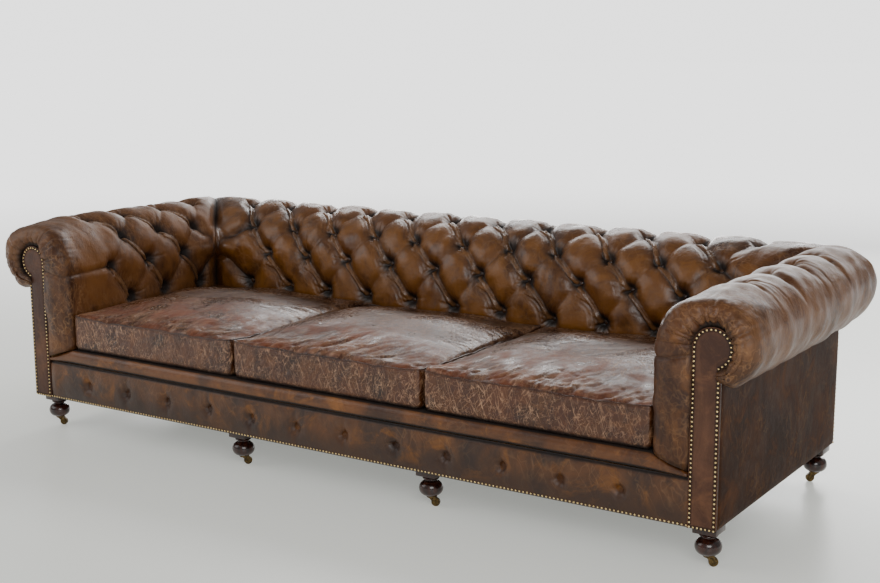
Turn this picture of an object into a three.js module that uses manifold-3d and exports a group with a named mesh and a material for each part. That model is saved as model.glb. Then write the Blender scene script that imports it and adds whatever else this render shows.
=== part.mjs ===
// A long three-seat sofa in buttoned leather, with rolled arms and a rolled back of one height.
// It stands on eight turned feet, and each foot runs on a small swivelling brass caster.
// Millimetres, +X along the length, -Y to the front, +Z up. The origin is on the floor, under the
// middle of the sofa's box.

import * as THREE from 'three';
import { mergeVertices } from 'three/addons/utils/BufferGeometryUtils.js';
import Module from 'manifold-3d';

const wasm = await Module();
wasm.setup();

// ---- driving dimensions ----------------------------------------------------------------------

const overallLength = 2900;
const overallDepth = 1112;
const overallHeight = 770;
const rollRadius = 127;
const fit = 0.3; // clearance that parts which touch keep

// the padded rolls
const rollHeight = overallHeight - rollRadius;
const armRollX = overallLength / 2 - rollRadius;
const backRollY = overallDepth / 2 - rollRadius;
const formerRadius = 75; // timber roll inside the padding
const formerDrop = 8; // the former's centre is this far below the roll's
const armInnerX = 1150;
const backInnerY = 232;

// the upright faces
const frontY = -overallDepth / 2;
const facingY = -548;
const timberFrontY = -537;
const panelX = 1346;
const panelY = 436;
const panelThickness = 10;
const panelTop = 533;

// heights, from the floor up
const undersideHeight = 124;
const railTop = 258;
const lipTop = 315;
const seamHeight = 436;
const crownHeight = 462;

// feet and casters
const footColumns = [-1301, -385, 385, 1301];
const footRows = { front: -483, rear: 394 };
const blockSide = 70;
const blockHeight = 22;
const bunRadius = 38;
const bunBottom = 34;
const bunTop = 84;
const wheelRadius = 13.5;
const wheelWidth = 10;
const wheelSides = 24;
const casterTrail = 15;
const axleRadius = 2;
const stemRadius = 4;

// ---- materials -------------------------------------------------------------------------------

function finish(colour, roughness, metalness = 0) {
  return new THREE.MeshStandardMaterial({ color: colour, roughness, metalness });
}

const padLeather = () => finish(0x6e4620, 0.42);
const seatLeather = () => finish(0x6b4a38, 0.45);
const panelLeather = () => finish(0x4a3a31, 0.5);
const facingLeather = () => finish(0x4b3229, 0.5);
const timber = () => finish(0x9a7a50, 0.75);
const polishedWood = () => finish(0x3a1d12, 0.3);
const cloth = () => finish(0x1d1b19, 0.95);
const canvas = () => finish(0x8d7f68, 0.95);
const steelWire = () => finish(0x7b7d80, 0.4, 0.9);
const agedBrass = () => finish(0x5e4a2c, 0.45, 0.9);

// ---- solids ----------------------------------------------------------------------------------

// the same surface with its shared corners merged, so that it closes
function closedForm(geometry) {
  const bare = geometry.clone();
  bare.deleteAttribute('normal');
  bare.deleteAttribute('uv');
  return mergeVertices(bare, 1e-4);
}

function toSolid(geometry) {
  const merged = closedForm(geometry);
  return new wasm.Manifold(new wasm.Mesh({
    numProp: 3,
    vertProperties: new Float32Array(merged.attributes.position.array),
    triVerts: new Uint32Array(merged.index.array),
  }));
}

function toGeometry(solid) {
  const mesh = solid.getMesh();
  const geometry = new THREE.BufferGeometry();
  geometry.setAttribute('position', new THREE.BufferAttribute(mesh.vertProperties.slice(), 3));
  geometry.setIndex(new THREE.BufferAttribute(mesh.triVerts.slice(), 1));
  geometry.computeVertexNormals();
  return geometry;
}

function box(x0, x1, y0, y1, z0, z1) {
  const geometry = new THREE.BoxGeometry(x1 - x0, y1 - y0, z1 - z0);
  return geometry.translate((x0 + x1) / 2, (y0 + y1) / 2, (z0 + z1) / 2);
}

// a section drawn in X and Z, drawn out from y0 to y1
function extrudeY(section, y0, y1, curveSegments = 8) {
  const geometry = new THREE.ExtrudeGeometry(section, {
    depth: y1 - y0, bevelEnabled: false, curveSegments,
  });
  return geometry.rotateX(Math.PI / 2).translate(0, y1, 0);
}

// a section drawn in Y and Z, drawn out from x0 to x1
function extrudeX(section, x0, x1, curveSegments = 8) {
  const geometry = new THREE.ExtrudeGeometry(section, {
    depth: x1 - x0, bevelEnabled: false, curveSegments,
  });
  const turn = new THREE.Matrix4().makeBasis(
    new THREE.Vector3(0, 1, 0), new THREE.Vector3(0, 0, 1), new THREE.Vector3(1, 0, 0));
  return geometry.applyMatrix4(turn).translate(x0, 0, 0);
}

// an outline drawn in X and Y, drawn up from z0 to z1
function extrudeZ(outline, z0, z1, curveSegments = 4) {
  const geometry = new THREE.ExtrudeGeometry(outline, {
    depth: z1 - z0, bevelEnabled: false, curveSegments,
  });
  return geometry.translate(0, 0, z0);
}

// a profile of [radius, height] points from the bottom of the axis to its top, turned about Z
function turned(profile, segments) {
  const points = profile.map(([radius, height]) => new THREE.Vector2(radius, height));
  return new THREE.LatheGeometry(points, segments).rotateX(Math.PI / 2);
}

function polygon(points) {
  return new THREE.Shape(points.map(([a, b]) => new THREE.Vector2(a, b)));
}

function mirrored(geometry) {
  const copy = closedForm(geometry).applyMatrix4(new THREE.Matrix4().makeScale(-1, 1, 1));
  const index = copy.index.array;
  for (let i = 0; i < index.length; i += 3) {
    [index[i], index[i + 1]] = [index[i + 1], index[i]];
  }
  copy.computeVertexNormals();
  return copy;
}

const sofa = new THREE.Group();

function addPiece(name, geometry, material, parent = sofa) {
  const mesh = new THREE.Mesh(geometry, material);
  mesh.name = name;
  parent.add(mesh);
  return mesh;
}

function addPair(name, rightGeometry, material) {
  addPiece(`${name}_right`, rightGeometry, material());
  addPiece(`${name}_left`, mirrored(rightGeometry), material());
}

// ---- sections of the rolls -------------------------------------------------------------------

// The padded section of an arm or the back: up the inner wall, over the roll and in under it.
// across is the distance outwards, where the roll's centre is at rollAcross.
function paddedSection(innerAcross, rollAcross, panelAcross) {
  const tuckAngle = THREE.MathUtils.degToRad(-65);
  const springing = 575;
  const core = rollAcross - 25;
  const section = new THREE.Shape();
  section.moveTo(innerAcross, railTop + 8);
  section.lineTo(innerAcross, springing);
  section.bezierCurveTo(
    innerAcross, springing + 120,
    rollAcross - 100, overallHeight,
    rollAcross, overallHeight);
  section.absarc(rollAcross, rollHeight, rollRadius, Math.PI / 2, tuckAngle, true);
  section.lineTo(panelAcross + fit, panelTop + fit);
  section.lineTo(core, panelTop + fit);
  section.lineTo(core, railTop + 8);
  section.closePath();
  return section;
}

// The timber inside it: an upright board that carries a round former.
function timberSection(boardInner, boardOuter, rollAcross, bottom, margin = 0) {
  const radius = formerRadius + margin;
  const centre = rollHeight - formerDrop;
  const inner = boardInner - margin;
  const outer = boardOuter + margin;
  const start = Math.atan2(-Math.sqrt(radius ** 2 - (inner - rollAcross) ** 2), inner - rollAcross);
  const end = Math.atan2(-Math.sqrt(radius ** 2 - (outer - rollAcross) ** 2), outer - rollAcross);
  const section = new THREE.Shape();
  section.moveTo(inner, bottom - margin);
  section.lineTo(rollAcross + radius * Math.cos(start), centre + radius * Math.sin(start));
  section.absarc(rollAcross, centre, radius, start, end, true);
  section.lineTo(outer, bottom - margin);
  section.closePath();
  return section;
}

// The plan region that belongs to the back where its roll meets the arms' rolls in a mitre.
function backRegion(shift) {
  const reach = 700;
  const slope = (backRollY - backInnerY) / (armRollX - armInnerX);
  const half = [
    [armInnerX - 50, backInnerY - 50 * slope],
    [armInnerX, backInnerY],
    [armRollX, backRollY],
    [armRollX + reach, backRollY + reach],
  ];
  const right = half.map(([x, y]) => [x, y + shift]);
  const left = half.map(([x, y]) => [-x, y + shift]).reverse();
  return toSolid(extrudeZ(polygon([...right, ...left]), 0, 1000));
}

// ---- timber frame ----------------------------------------------------------------------------

const timberRearY = panelY - panelThickness - 1 - fit;
const railEndX = 1281;
const armBoardX = [1262, panelX - panelThickness - 1];
const backBoardY = [365, timberRearY];
const backFrameHalf = armRollX - formerRadius - fit;
const springWire = 4;
const springTop = railTop + fit + springWire;

function addTimber() {
  const railThickness = 30;
  const endRailThickness = 40;
  const front = box(-railEndX + fit, railEndX - fit, timberFrontY,
    timberFrontY + railThickness, undersideHeight, railTop);
  addPiece('base_rail_front', front, timber());
  const rear = box(-railEndX + fit, railEndX - fit, timberRearY - railThickness,
    timberRearY, undersideHeight, railTop);
  addPiece('base_rail_rear', rear, timber());
  const end = box(railEndX, railEndX + endRailThickness, timberFrontY, timberRearY,
    undersideHeight, railTop);
  addPair('base_rail', end, timber);
  const crossRail = box(footColumns[2] - railThickness / 2, footColumns[2] + railThickness / 2,
    timberFrontY + railThickness + fit, timberRearY - railThickness - fit, undersideHeight, 220);
  addPair('cross_rail', crossRail, timber);
  const armFrame = extrudeY(
    timberSection(armBoardX[0], armBoardX[1], armRollX, railTop + fit), timberFrontY, timberRearY, 9);
  addPair('arm_frame', armFrame, timber);
  const backFrame = extrudeX(
    timberSection(backBoardY[0], backBoardY[1], backRollY, springTop + fit),
    -backFrameHalf, backFrameHalf, 9);
  addPiece('back_frame', backFrame, timber());
}

// ---- springing and seat platform -------------------------------------------------------------

// One seat's springs: zigzag wires from rail to rail, tied by two cross wires.
function springUnit(centreX) {
  const wires = 4;
  const wirePitch = 165;
  const bends = 14;
  const swing = 24;
  const y0 = timberFrontY + 6;
  const y1 = timberRearY - 6;
  const pitch = (y1 - y0) / bends;
  let unit = null;
  for (let wire = 0; wire < wires; wire += 1) {
    const x = centreX + (wire - (wires - 1) / 2) * wirePitch;
    const near = [];
    const far = [];
    for (let bend = 0; bend <= bends; bend += 1) {
      const sway = bend % 2 ? swing : -swing;
      near.push([x + sway - springWire, y0 + bend * pitch]);
      far.unshift([x + sway + springWire, y0 + bend * pitch]);
    }
    const zigzag = toSolid(extrudeZ(polygon([...near, ...far].reverse()),
      railTop + fit, springTop));
    unit = unit ? unit.add(zigzag) : zigzag;
  }
  for (const tieY of [-240, 120]) {
    const half = wirePitch * (wires - 1) / 2 + swing;
    const tie = toSolid(box(centreX - half, centreX + half, tieY - springWire / 2,
      tieY + springWire / 2, railTop + fit + 0.5, springTop - 0.5));
    unit = unit.add(tie);
  }
  return toGeometry(unit);
}

const seatNames = ['left', 'middle', 'right'];
const seatPitch = 2 * armInnerX / seatNames.length;
const lipDepth = 62;
const deckTop = lipTop;

function addSeatPlatform() {
  seatNames.forEach((name, i) => {
    addPiece(`spring_unit_${name}`, springUnit((i - 1) * seatPitch), steelWire());
  });
  const deck = box(-armInnerX + fit, armInnerX - fit, facingY + lipDepth,
    backInnerY - fit, springTop + fit, deckTop - fit);
  addPiece('seat_platform', deck, canvas());
  const cover = box(-1330, 1330, timberFrontY - 3, timberRearY + 3,
    undersideHeight - 2.1, undersideHeight - fit);
  addPiece('dust_cover', cover, cloth());
}

// ---- leather and padding ---------------------------------------------------------------------

const facingHead = { x: armRollX, z: 626, radius: 57 };
const facingInnerX = facingHead.x - facingHead.radius;

// the flat panel on an arm's front: a stem with a round head
function facingOutline(margin = 0) {
  const radius = facingHead.radius + margin;
  const inner = facingInnerX - margin;
  const outer = panelX + margin;
  const end = Math.atan2(-Math.sqrt(radius ** 2 - (outer - facingHead.x) ** 2),
    outer - facingHead.x);
  const outline = new THREE.Shape();
  outline.moveTo(inner, undersideHeight - margin);
  outline.lineTo(inner, facingHead.z);
  outline.absarc(facingHead.x, facingHead.z, radius, Math.PI, end, true);
  outline.lineTo(outer, undersideHeight - margin);
  outline.closePath();
  return outline;
}

function armPad() {
  const section = paddedSection(armInnerX, armRollX, panelX);
  let pad = toSolid(extrudeY(section, frontY, overallDepth / 2 + 60, 12));
  const frame = timberSection(armBoardX[0], armBoardX[1], armRollX, railTop + fit, fit);
  pad = pad.subtract(toSolid(extrudeY(frame, timberFrontY - fit, timberRearY + fit, 9)));
  pad = pad.subtract(toSolid(extrudeY(facingOutline(fit), frontY - 5, timberFrontY, 9)));
  pad = pad.subtract(toSolid(box(armInnerX - 10, armBoardX[1], frontY - 5,
    facingY + lipDepth + fit, undersideHeight, lipTop + fit)));
  pad = pad.subtract(toSolid(box(-backFrameHalf, backFrameHalf + fit, backBoardY[0] - fit,
    panelY, undersideHeight, rollHeight)));
  return toGeometry(pad.subtract(backRegion(-fit / 2)));
}

function backPad() {
  const section = paddedSection(backInnerY, backRollY, panelY);
  let pad = toSolid(extrudeX(section, -overallLength / 2, overallLength / 2, 12));
  pad = pad.intersect(backRegion(fit / 2));
  const backFrame = timberSection(backBoardY[0], backBoardY[1], backRollY, springTop + fit, fit);
  pad = pad.subtract(toSolid(extrudeX(backFrame, -backFrameHalf - fit, backFrameHalf + fit, 9)));
  const armFrame = extrudeY(
    timberSection(armBoardX[0], armBoardX[1], armRollX, railTop + fit, fit),
    timberFrontY, timberRearY + fit, 9);
  pad = pad.subtract(toSolid(armFrame)).subtract(toSolid(mirrored(armFrame)));
  return toGeometry(pad);
}

// a seat cushion: flat underneath, with a crowned top that is level along its middle
function seatCushion(centreX) {
  const rear = backInnerY - 1.2;
  const front = facingY - 3;
  const bottom = lipTop + fit;
  const depth = rear - front;
  const section = polygon([
    [front + 6, bottom],
    [front, bottom + 12],
    [front, seamHeight - 8],
    [front + 14, seamHeight + 4],
    [front + depth * 0.18, crownHeight - 7],
    [front + depth * 0.38, crownHeight],
    [front + depth * 0.66, crownHeight],
    [front + depth * 0.86, crownHeight - 8],
    [rear, seamHeight],
    [rear, bottom],
  ]);
  const half = seatPitch / 2 - 1.5;
  return extrudeX(section, centreX - half, centreX + half);
}

function addLeather() {
  const coverEnd = facingInnerX - fit;
  const railCover = box(-coverEnd, coverEnd, facingY, timberFrontY - fit, undersideHeight, springTop);
  addPiece('front_rail_cover', railCover, padLeather());
  const lipSection = new THREE.Shape();
  const lipBottom = springTop + fit;
  const lipHalf = (lipTop - lipBottom) / 2;
  const lipEnd = armBoardX[0] - fit;
  lipSection.moveTo(facingY - 2 + lipHalf, lipBottom);
  lipSection.lineTo(facingY + lipDepth - fit, lipBottom);
  lipSection.lineTo(facingY + lipDepth - fit, lipTop);
  lipSection.lineTo(facingY - 2 + lipHalf, lipTop);
  lipSection.absarc(facingY - 2 + lipHalf, lipBottom + lipHalf, lipHalf,
    Math.PI / 2, Math.PI * 1.5, false);
  addPiece('seat_lip', extrudeX(lipSection, -lipEnd, lipEnd, 6), seatLeather());

  addPair('arm_pad', armPad(), padLeather);
  addPair('arm_facing', extrudeY(facingOutline(), facingY, timberFrontY - fit, 9), facingLeather);
  const outerPanel = box(panelX - panelThickness, panelX, timberFrontY, panelY,
    undersideHeight, panelTop);
  addPair('arm_outer_panel', outerPanel, panelLeather);
  addPiece('back_pad', backPad(), padLeather());
  const panelHalf = panelX - panelThickness - fit;
  const rearPanel = box(-panelHalf, panelHalf, panelY - panelThickness, panelY,
    undersideHeight, panelTop);
  addPiece('back_outer_panel', rearPanel, panelLeather());
  seatNames.forEach((name, i) => {
    addPiece(`seat_cushion_${name}`, seatCushion((i - 1) * seatPitch), seatLeather());
  });
}

// ---- feet and casters ------------------------------------------------------------------------

const socketTop = 62;
const socketRadius = 6;
const socketPlateBottom = 31;
const crownBottom = 27.8;
const crownTop = socketPlateBottom - fit;
const cheekInner = wheelWidth / 2 + 0.5;
const cheekOuter = cheekInner + 2.5;

// a square block, a short neck and a round bun, bored from below for the caster's socket
function foot() {
  const blockTop = undersideHeight - 2.4;
  const blockBottom = blockTop - blockHeight;
  const bunCentre = (bunBottom + bunTop) / 2;
  const bunHalf = (bunTop - bunBottom) / 2;
  const profile = [[0, bunBottom]];
  for (const degrees of [-62, -40, -18, 0, 20, 42, 64]) {
    const angle = THREE.MathUtils.degToRad(degrees);
    profile.push([bunRadius * Math.cos(angle) ** 0.6, bunCentre + bunHalf * Math.sin(angle)]);
  }
  profile[1][1] = bunBottom;
  profile.push([21, bunTop + 2], [25, blockBottom - 4], [31, blockBottom + 1], [0, blockBottom + 1]);
  const half = blockSide / 2;
  const corner = 5;
  const block = polygon([
    [-half + corner, -half], [half - corner, -half], [half, -half + corner],
    [half, half - corner], [half - corner, half], [-half + corner, half],
    [-half, half - corner], [-half, -half + corner],
  ]);
  const bore = new THREE.CylinderGeometry(socketRadius + 0.6, socketRadius + 0.6,
    socketTop + 1 - bunBottom + 5, 12).rotateX(Math.PI / 2)
    .translate(0, 0, (socketTop + 1 + bunBottom - 5) / 2);
  const body = toSolid(turned(profile, 16)).add(toSolid(extrudeZ(block, blockBottom, blockTop)));
  return toGeometry(body.subtract(toSolid(bore)));
}

// the brass plate under the bun, with the tube that the caster's stem turns in
function casterSocket() {
  const bore = stemRadius + 0.4;
  return turned([
    [0, socketTop - 3],
    [bore, socketTop - 3],
    [bore, socketPlateBottom],
    [16, socketPlateBottom],
    [16, bunBottom - fit],
    [socketRadius, bunBottom - fit],
    [socketRadius, socketTop],
    [0, socketTop],
  ], 12);
}

// the swivelling fork: a stem, a crown plate, two cheeks and the pin riveted through them
function casterFork() {
  const stem = new THREE.CylinderGeometry(stemRadius, stemRadius, 29, 12)
    .rotateX(Math.PI / 2).translate(0, 0, crownTop - 1 + 14.5);
  const crown = new THREE.CylinderGeometry(13, 13, crownTop - crownBottom, 16)
    .rotateX(Math.PI / 2).translate(0, 0, (crownTop + crownBottom) / 2);
  const bridge = box(-4, 17, -cheekOuter, cheekOuter, crownBottom, crownTop);
  const cheek = polygon([
    [-7, crownBottom + 0.2], [casterTrail - 5, wheelRadius - 2], [casterTrail - 3, wheelRadius - 5],
    [casterTrail + 3, wheelRadius - 5], [casterTrail + 5, wheelRadius - 1], [17, crownTop], [-7, crownTop],
  ]);
  const pin = new THREE.CylinderGeometry(axleRadius, axleRadius, 2 * cheekOuter + 2, 10)
    .translate(casterTrail, 0, wheelRadius);
  let fork = toSolid(stem).add(toSolid(crown)).add(toSolid(bridge)).add(toSolid(pin));
  fork = fork.add(toSolid(extrudeY(cheek, cheekInner, cheekOuter)));
  fork = fork.add(toSolid(extrudeY(cheek, -cheekOuter, -cheekInner)));
  for (const side of [-1, 1]) {
    const head = new THREE.CylinderGeometry(3.4, 3.4, 1.2, 10)
      .translate(casterTrail, side * (cheekOuter + 0.5), wheelRadius);
    fork = fork.add(toSolid(head));
  }
  return toGeometry(fork);
}

// the wheel, turned so that one of its flats lies on the floor
function casterWheel() {
  const halfStep = Math.PI / wheelSides;
  const corner = wheelRadius / Math.cos(halfStep);
  const tread = new THREE.CylinderGeometry(corner, corner, wheelWidth, wheelSides)
    .rotateY(halfStep);
  const hole = new THREE.CylinderGeometry(axleRadius + 0.4, axleRadius + 0.4, wheelWidth + 4, 12);
  const wheel = toGeometry(toSolid(tread).subtract(toSolid(hole)));
  return wheel.translate(casterTrail, 0, wheelRadius);
}

// the way each caster trails at rest, in degrees about Z from +X
const casterHeadings = {
  front: [28, 62, 20, 34],
  rear: [150, 205, 118, 216],
};
const columnNames = ['left', 'mid_left', 'mid_right', 'right'];

function addFeet() {
  for (const [rowName, y] of Object.entries(footRows)) {
    footColumns.forEach((x, i) => {
      const place = `${rowName}_${columnNames[i]}`;
      const stand = new THREE.Group();
      stand.position.set(x, y, 0);
      sofa.add(stand);
      addPiece(`foot_${place}`, foot(), polishedWood(), stand);
      addPiece(`caster_socket_${place}`, casterSocket(), agedBrass(), stand);
      const swivel = new THREE.Group();
      swivel.rotation.z = THREE.MathUtils.degToRad(casterHeadings[rowName][i]);
      stand.add(swivel);
      addPiece(`caster_fork_${place}`, casterFork(), agedBrass(), swivel);
      addPiece(`caster_wheel_${place}`, casterWheel(), agedBrass(), swivel);
    });
  }
}

addTimber();
addSeatPlatform();
addLeather();
addFeet();

export default sofa;
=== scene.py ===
import math
import random

import bmesh
import bpy
import numpy as np
from mathutils import Matrix, Vector


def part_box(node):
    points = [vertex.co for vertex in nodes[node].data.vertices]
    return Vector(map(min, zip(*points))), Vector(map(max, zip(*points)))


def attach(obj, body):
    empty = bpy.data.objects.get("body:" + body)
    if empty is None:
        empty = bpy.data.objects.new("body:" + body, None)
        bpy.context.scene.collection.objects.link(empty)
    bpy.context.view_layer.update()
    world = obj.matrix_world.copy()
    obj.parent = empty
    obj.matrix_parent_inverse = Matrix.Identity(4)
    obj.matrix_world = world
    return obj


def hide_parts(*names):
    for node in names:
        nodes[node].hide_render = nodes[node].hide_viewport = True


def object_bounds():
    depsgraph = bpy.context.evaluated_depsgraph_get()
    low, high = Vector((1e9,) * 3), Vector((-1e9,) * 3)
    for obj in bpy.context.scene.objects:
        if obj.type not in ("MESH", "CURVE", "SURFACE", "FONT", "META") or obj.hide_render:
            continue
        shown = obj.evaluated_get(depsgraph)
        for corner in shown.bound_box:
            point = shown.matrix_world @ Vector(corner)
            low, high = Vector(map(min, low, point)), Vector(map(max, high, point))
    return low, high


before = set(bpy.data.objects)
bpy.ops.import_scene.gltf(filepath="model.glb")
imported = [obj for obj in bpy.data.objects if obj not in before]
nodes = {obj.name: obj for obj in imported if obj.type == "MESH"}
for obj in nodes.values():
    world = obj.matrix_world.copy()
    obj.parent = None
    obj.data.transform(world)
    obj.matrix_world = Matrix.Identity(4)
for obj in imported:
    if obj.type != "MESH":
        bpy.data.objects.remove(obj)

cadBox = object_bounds()


# places taken from the frame

def span(node, axis):
    low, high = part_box(node)
    return low[axis], high[axis]


panelOuterX = span("arm_outer_panel_right", 0)[1]
panelRearY = span("back_outer_panel", 1)[1]
panelTop = span("arm_outer_panel_right", 2)[1]
rollTop = cadBox[1].z
padFront = cadBox[0].y
armInnerX = span("arm_pad_right", 0)[0]
armOuterX = cadBox[1].x
backOuterY = cadBox[1].y
backInnerY = span("seat_platform", 1)[1]
lipTop = span("seat_lip", 2)[1]
timberFront = span("arm_frame_right", 1)[0]
facingInnerX = span("arm_facing_right", 0)[0]

rollRadius = 0.127
rollHeight = rollTop - rollRadius
armRollX = armOuterX - rollRadius
backRollY = backOuterY - rollRadius
facingHead = {"x": armRollX, "z": 0.626, "radius": 0.057}
springing = 0.575                    # where the inner walls start to curve over
padBottom = lipTop + 0.0015
lipEndDrop = 0.036                   # how far the lip's upper edge falls at its mitred ends


# shader maths

class Channel:
    def __init__(self, finish, socket):
        self.finish = finish
        self.socket = socket

    def join(self, operation, first, second):
        return self.finish.node("ShaderNodeMath", {"operation": operation}, {0: first, 1: second})

    def __add__(self, other):
        return self.join("ADD", self, other)

    def __radd__(self, other):
        return self.join("ADD", other, self)

    def __sub__(self, other):
        return self.join("SUBTRACT", self, other)

    def __rsub__(self, other):
        return self.join("SUBTRACT", other, self)

    def __mul__(self, other):
        return self.join("MULTIPLY", self, other)

    def __rmul__(self, other):
        return self.join("MULTIPLY", other, self)

    def __abs__(self):
        return self.finish.node("ShaderNodeMath", {"operation": "ABSOLUTE"}, {0: self})


class Finish:
    def __init__(self, name):
        self.material = bpy.data.materials.new(name)
        self.material.use_nodes = True
        self.tree = self.material.node_tree
        self.tree.nodes.clear()

    def node(self, kind, settings=None, values=None, out=0):
        made = self.tree.nodes.new(kind)
        for key, value in (settings or {}).items():
            if key == "stops":
                ramp = made.color_ramp
                while len(ramp.elements) < len(value):
                    ramp.elements.new(0.5)
                for element, (position, colour) in zip(ramp.elements, value):
                    element.position = position
                    element.color = colour
            else:
                setattr(made, key, value)
        for key, value in (values or {}).items():
            if isinstance(value, Channel):
                self.tree.links.new(value.socket, made.inputs[key])
            else:
                made.inputs[key].default_value = value
        return Channel(self, made.outputs[out]) if made.outputs else None

    def place(self, scale=(1, 1, 1), turn=(0, 0, 0), shift=(0, 0, 0)):
        point = self.node("ShaderNodeTexCoord", out=3)
        return self.node("ShaderNodeMapping", {}, {0: point, 1: shift, 2: turn, 3: scale})

    def noise(self, where, scale, detail=3.0, rough=0.5, distortion=0.0):
        return self.node("ShaderNodeTexNoise", {}, {
            "Vector": where, "Scale": scale, "Detail": detail,
            "Roughness": rough, "Distortion": distortion})

    def cells(self, where, scale, feature="F1"):
        return self.node("ShaderNodeTexVoronoi", {"feature": feature},
                         {"Vector": where, "Scale": scale})

    def bend(self, where, scale, amount):
        # pushes the coordinates about, so that lines wander
        push = self.node("ShaderNodeTexNoise", {}, {"Vector": where, "Scale": scale, "Detail": 2.0},
                         out=1)
        centred = self.node("ShaderNodeVectorMath", {"operation": "SUBTRACT"},
                            {0: push, 1: (0.5, 0.5, 0.5)})
        scaled = self.node("ShaderNodeVectorMath", {"operation": "SCALE"},
                           {0: centred, "Scale": amount})
        return self.node("ShaderNodeVectorMath", {"operation": "ADD"}, {0: where, 1: scaled})

    def ease(self, value, low, high, bottom=0.0, top=1.0):
        return self.node("ShaderNodeMapRange", {"interpolation_type": "SMOOTHSTEP"}, {
            0: value, 1: low, 2: high, 3: bottom, 4: top})

    def hairs(self, where, scale, width):
        # thin wandering lines where a slow noise passes its middle value
        level = self.noise(where, scale, 2.0, 0.55)
        return self.ease(abs(level - 0.5), 0.0, width, 1.0, 0.0)

    def mix(self, factor, first, second, way="MIX"):
        return self.node("ShaderNodeMix", {"data_type": "RGBA", "blend_type": way},
                         {0: factor, 6: first, 7: second}, out=2)

    def attribute(self, name):
        return self.node("ShaderNodeAttribute", {"attribute_name": name}, out=2)

    def bump(self, height, strength, distance, under=None):
        values = {"Strength": strength, "Distance": distance, "Height": height}
        if under:
            values["Normal"] = under
        return self.node("ShaderNodeBump", {}, values)

    def surface(self, values, settings=None):
        shader = self.node("ShaderNodeBsdfPrincipled", settings, values)
        self.node("ShaderNodeOutputMaterial", {}, {"Surface": shader})
        return self.material


def tone(red, green, blue):
    # screen colour from 0 to 255, as the renderer's linear colour
    return tuple(((c / 255) ** 2.2) for c in (red, green, blue)) + (1.0,)


# leather

def shades(dark, middle, light):
    return {"dark": tone(*dark), "middle": tone(*middle), "light": tone(*light)}


def makeLeather(name, look):
    leather = Finish(name)
    where = leather.place()
    patches = leather.noise(where, look["patchScale"], 6.0, 0.62, 0.6)
    blotches = leather.noise(leather.place(shift=(3.1, 1.7, 0.4)), look["blotchScale"], 8.0, 0.66, 1.2)
    base = leather.mix(leather.ease(patches, 0.36, 0.64), look["dark"], look["middle"])
    base = leather.mix(leather.ease(blotches, 0.5, 0.72) * look["lightShare"], base, look["light"])

    # streaks run the way the hide was stretched
    streakPlace = leather.place(look["streakStretch"], look["streakTurn"])
    streaks = leather.noise(leather.bend(streakPlace, 3.0, 0.5), look["streakScale"], 7.0, 0.7, 0.3)
    base = leather.mix(leather.ease(streaks, 0.42, 0.7) * look["streakShare"], base, look["streak"])

    # hair-like creases where the finish has cracked, pale along their lips
    wander = leather.bend(leather.place(), 7.0, look["wander"])
    patch = leather.ease(leather.noise(leather.place(shift=(7.0, 2.0, 5.0)), look["crackPatch"], 4.0),
                         0.38, 0.60, look["crackLeast"])
    lines = 0.0
    for turn, strength in look["crackTurns"]:
        turned = leather.node("ShaderNodeMapping", {}, {0: wander, 2: turn})
        tilted = leather.node("ShaderNodeMapping", {}, {0: turned, 3: look["crackStretch"]})
        lines = leather.hairs(tilted, look["crackScale"], look["crackWidth"]) * strength + lines
    lines = lines * patch
    base = leather.mix(lines * look["crackShare"], base, look["crack"])

    rubbed = leather.noise(leather.bend(leather.place(), 5.0, 0.08), 11.0, 6.0, 0.65)
    worn = leather.attribute("worn") * leather.ease(rubbed, 0.32, 0.66)
    hollow = leather.attribute("hollow")
    # puff centres painted lighter: partly a painted highlight on the full tops, partly a thinner finish
    centre = leather.attribute("full") * leather.ease(blotches, 0.30, 0.58)
    base = leather.mix(centre * look["fullShare"], base, look["light"])
    base = leather.mix(worn * look["wornShare"], base, look["worn"])
    # ridges are painted paler: on the pads' pleats a painted highlight, partly rubbed wear; on the
    # cushions' wrinkles rubbed pale
    ridge = leather.attribute("ridge")
    base = leather.mix(ridge * look["ridgeShare"], base, look["crack"])
    # painted shade: the fold colour darkens the leather in folds, pits, seams and gaps, as the mask gives
    base = leather.mix(leather.ease(hollow, 0.12, 0.9) * look["hollowShadeShare"], base, look["fold"])
    if look["footShade"]:            # darker towards the foot of the piece
        height = leather.node("ShaderNodeSeparateXYZ", {}, {0: leather.place()}, out=2)
        shade = leather.ease(height + (blotches - 0.5) * 0.09, *look["footBand"], 1.0, 0.0)
        base = leather.mix(shade * look["footShade"], base, look["dark"])

    grain = leather.cells(where, 430.0)
    pores = leather.noise(where, 900.0, 2.0)
    buckle = leather.noise(leather.bend(where, 18.0, 0.03), look["buckleScale"], 4.0, 0.6)
    bumps = leather.bump(grain * 0.6 + pores * 0.4, look["grain"], 0.0006)
    bumps = leather.bump(1.0 - lines, look["crackDepth"], 0.0012, bumps)
    bumps = leather.bump(buckle + streaks * look["streakBump"], look["buckle"], 0.006, bumps)

    rough = look["gloss"] + leather.ease(blotches, 0.3, 0.7) * 0.12 + grain * 0.05
    rough = rough + hollow * 0.34 + lines * 0.10 + worn * look["wornRough"] - ridge * 0.10
    rough = rough + leather.attribute("full") * look["fullRough"]
    return leather.surface({
        "Base Color": base, "Roughness": rough, "Normal": bumps,
        "Specular IOR Level": look["specular"], "Coat Weight": look["coat"], "Coat Roughness": 0.3})


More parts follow.
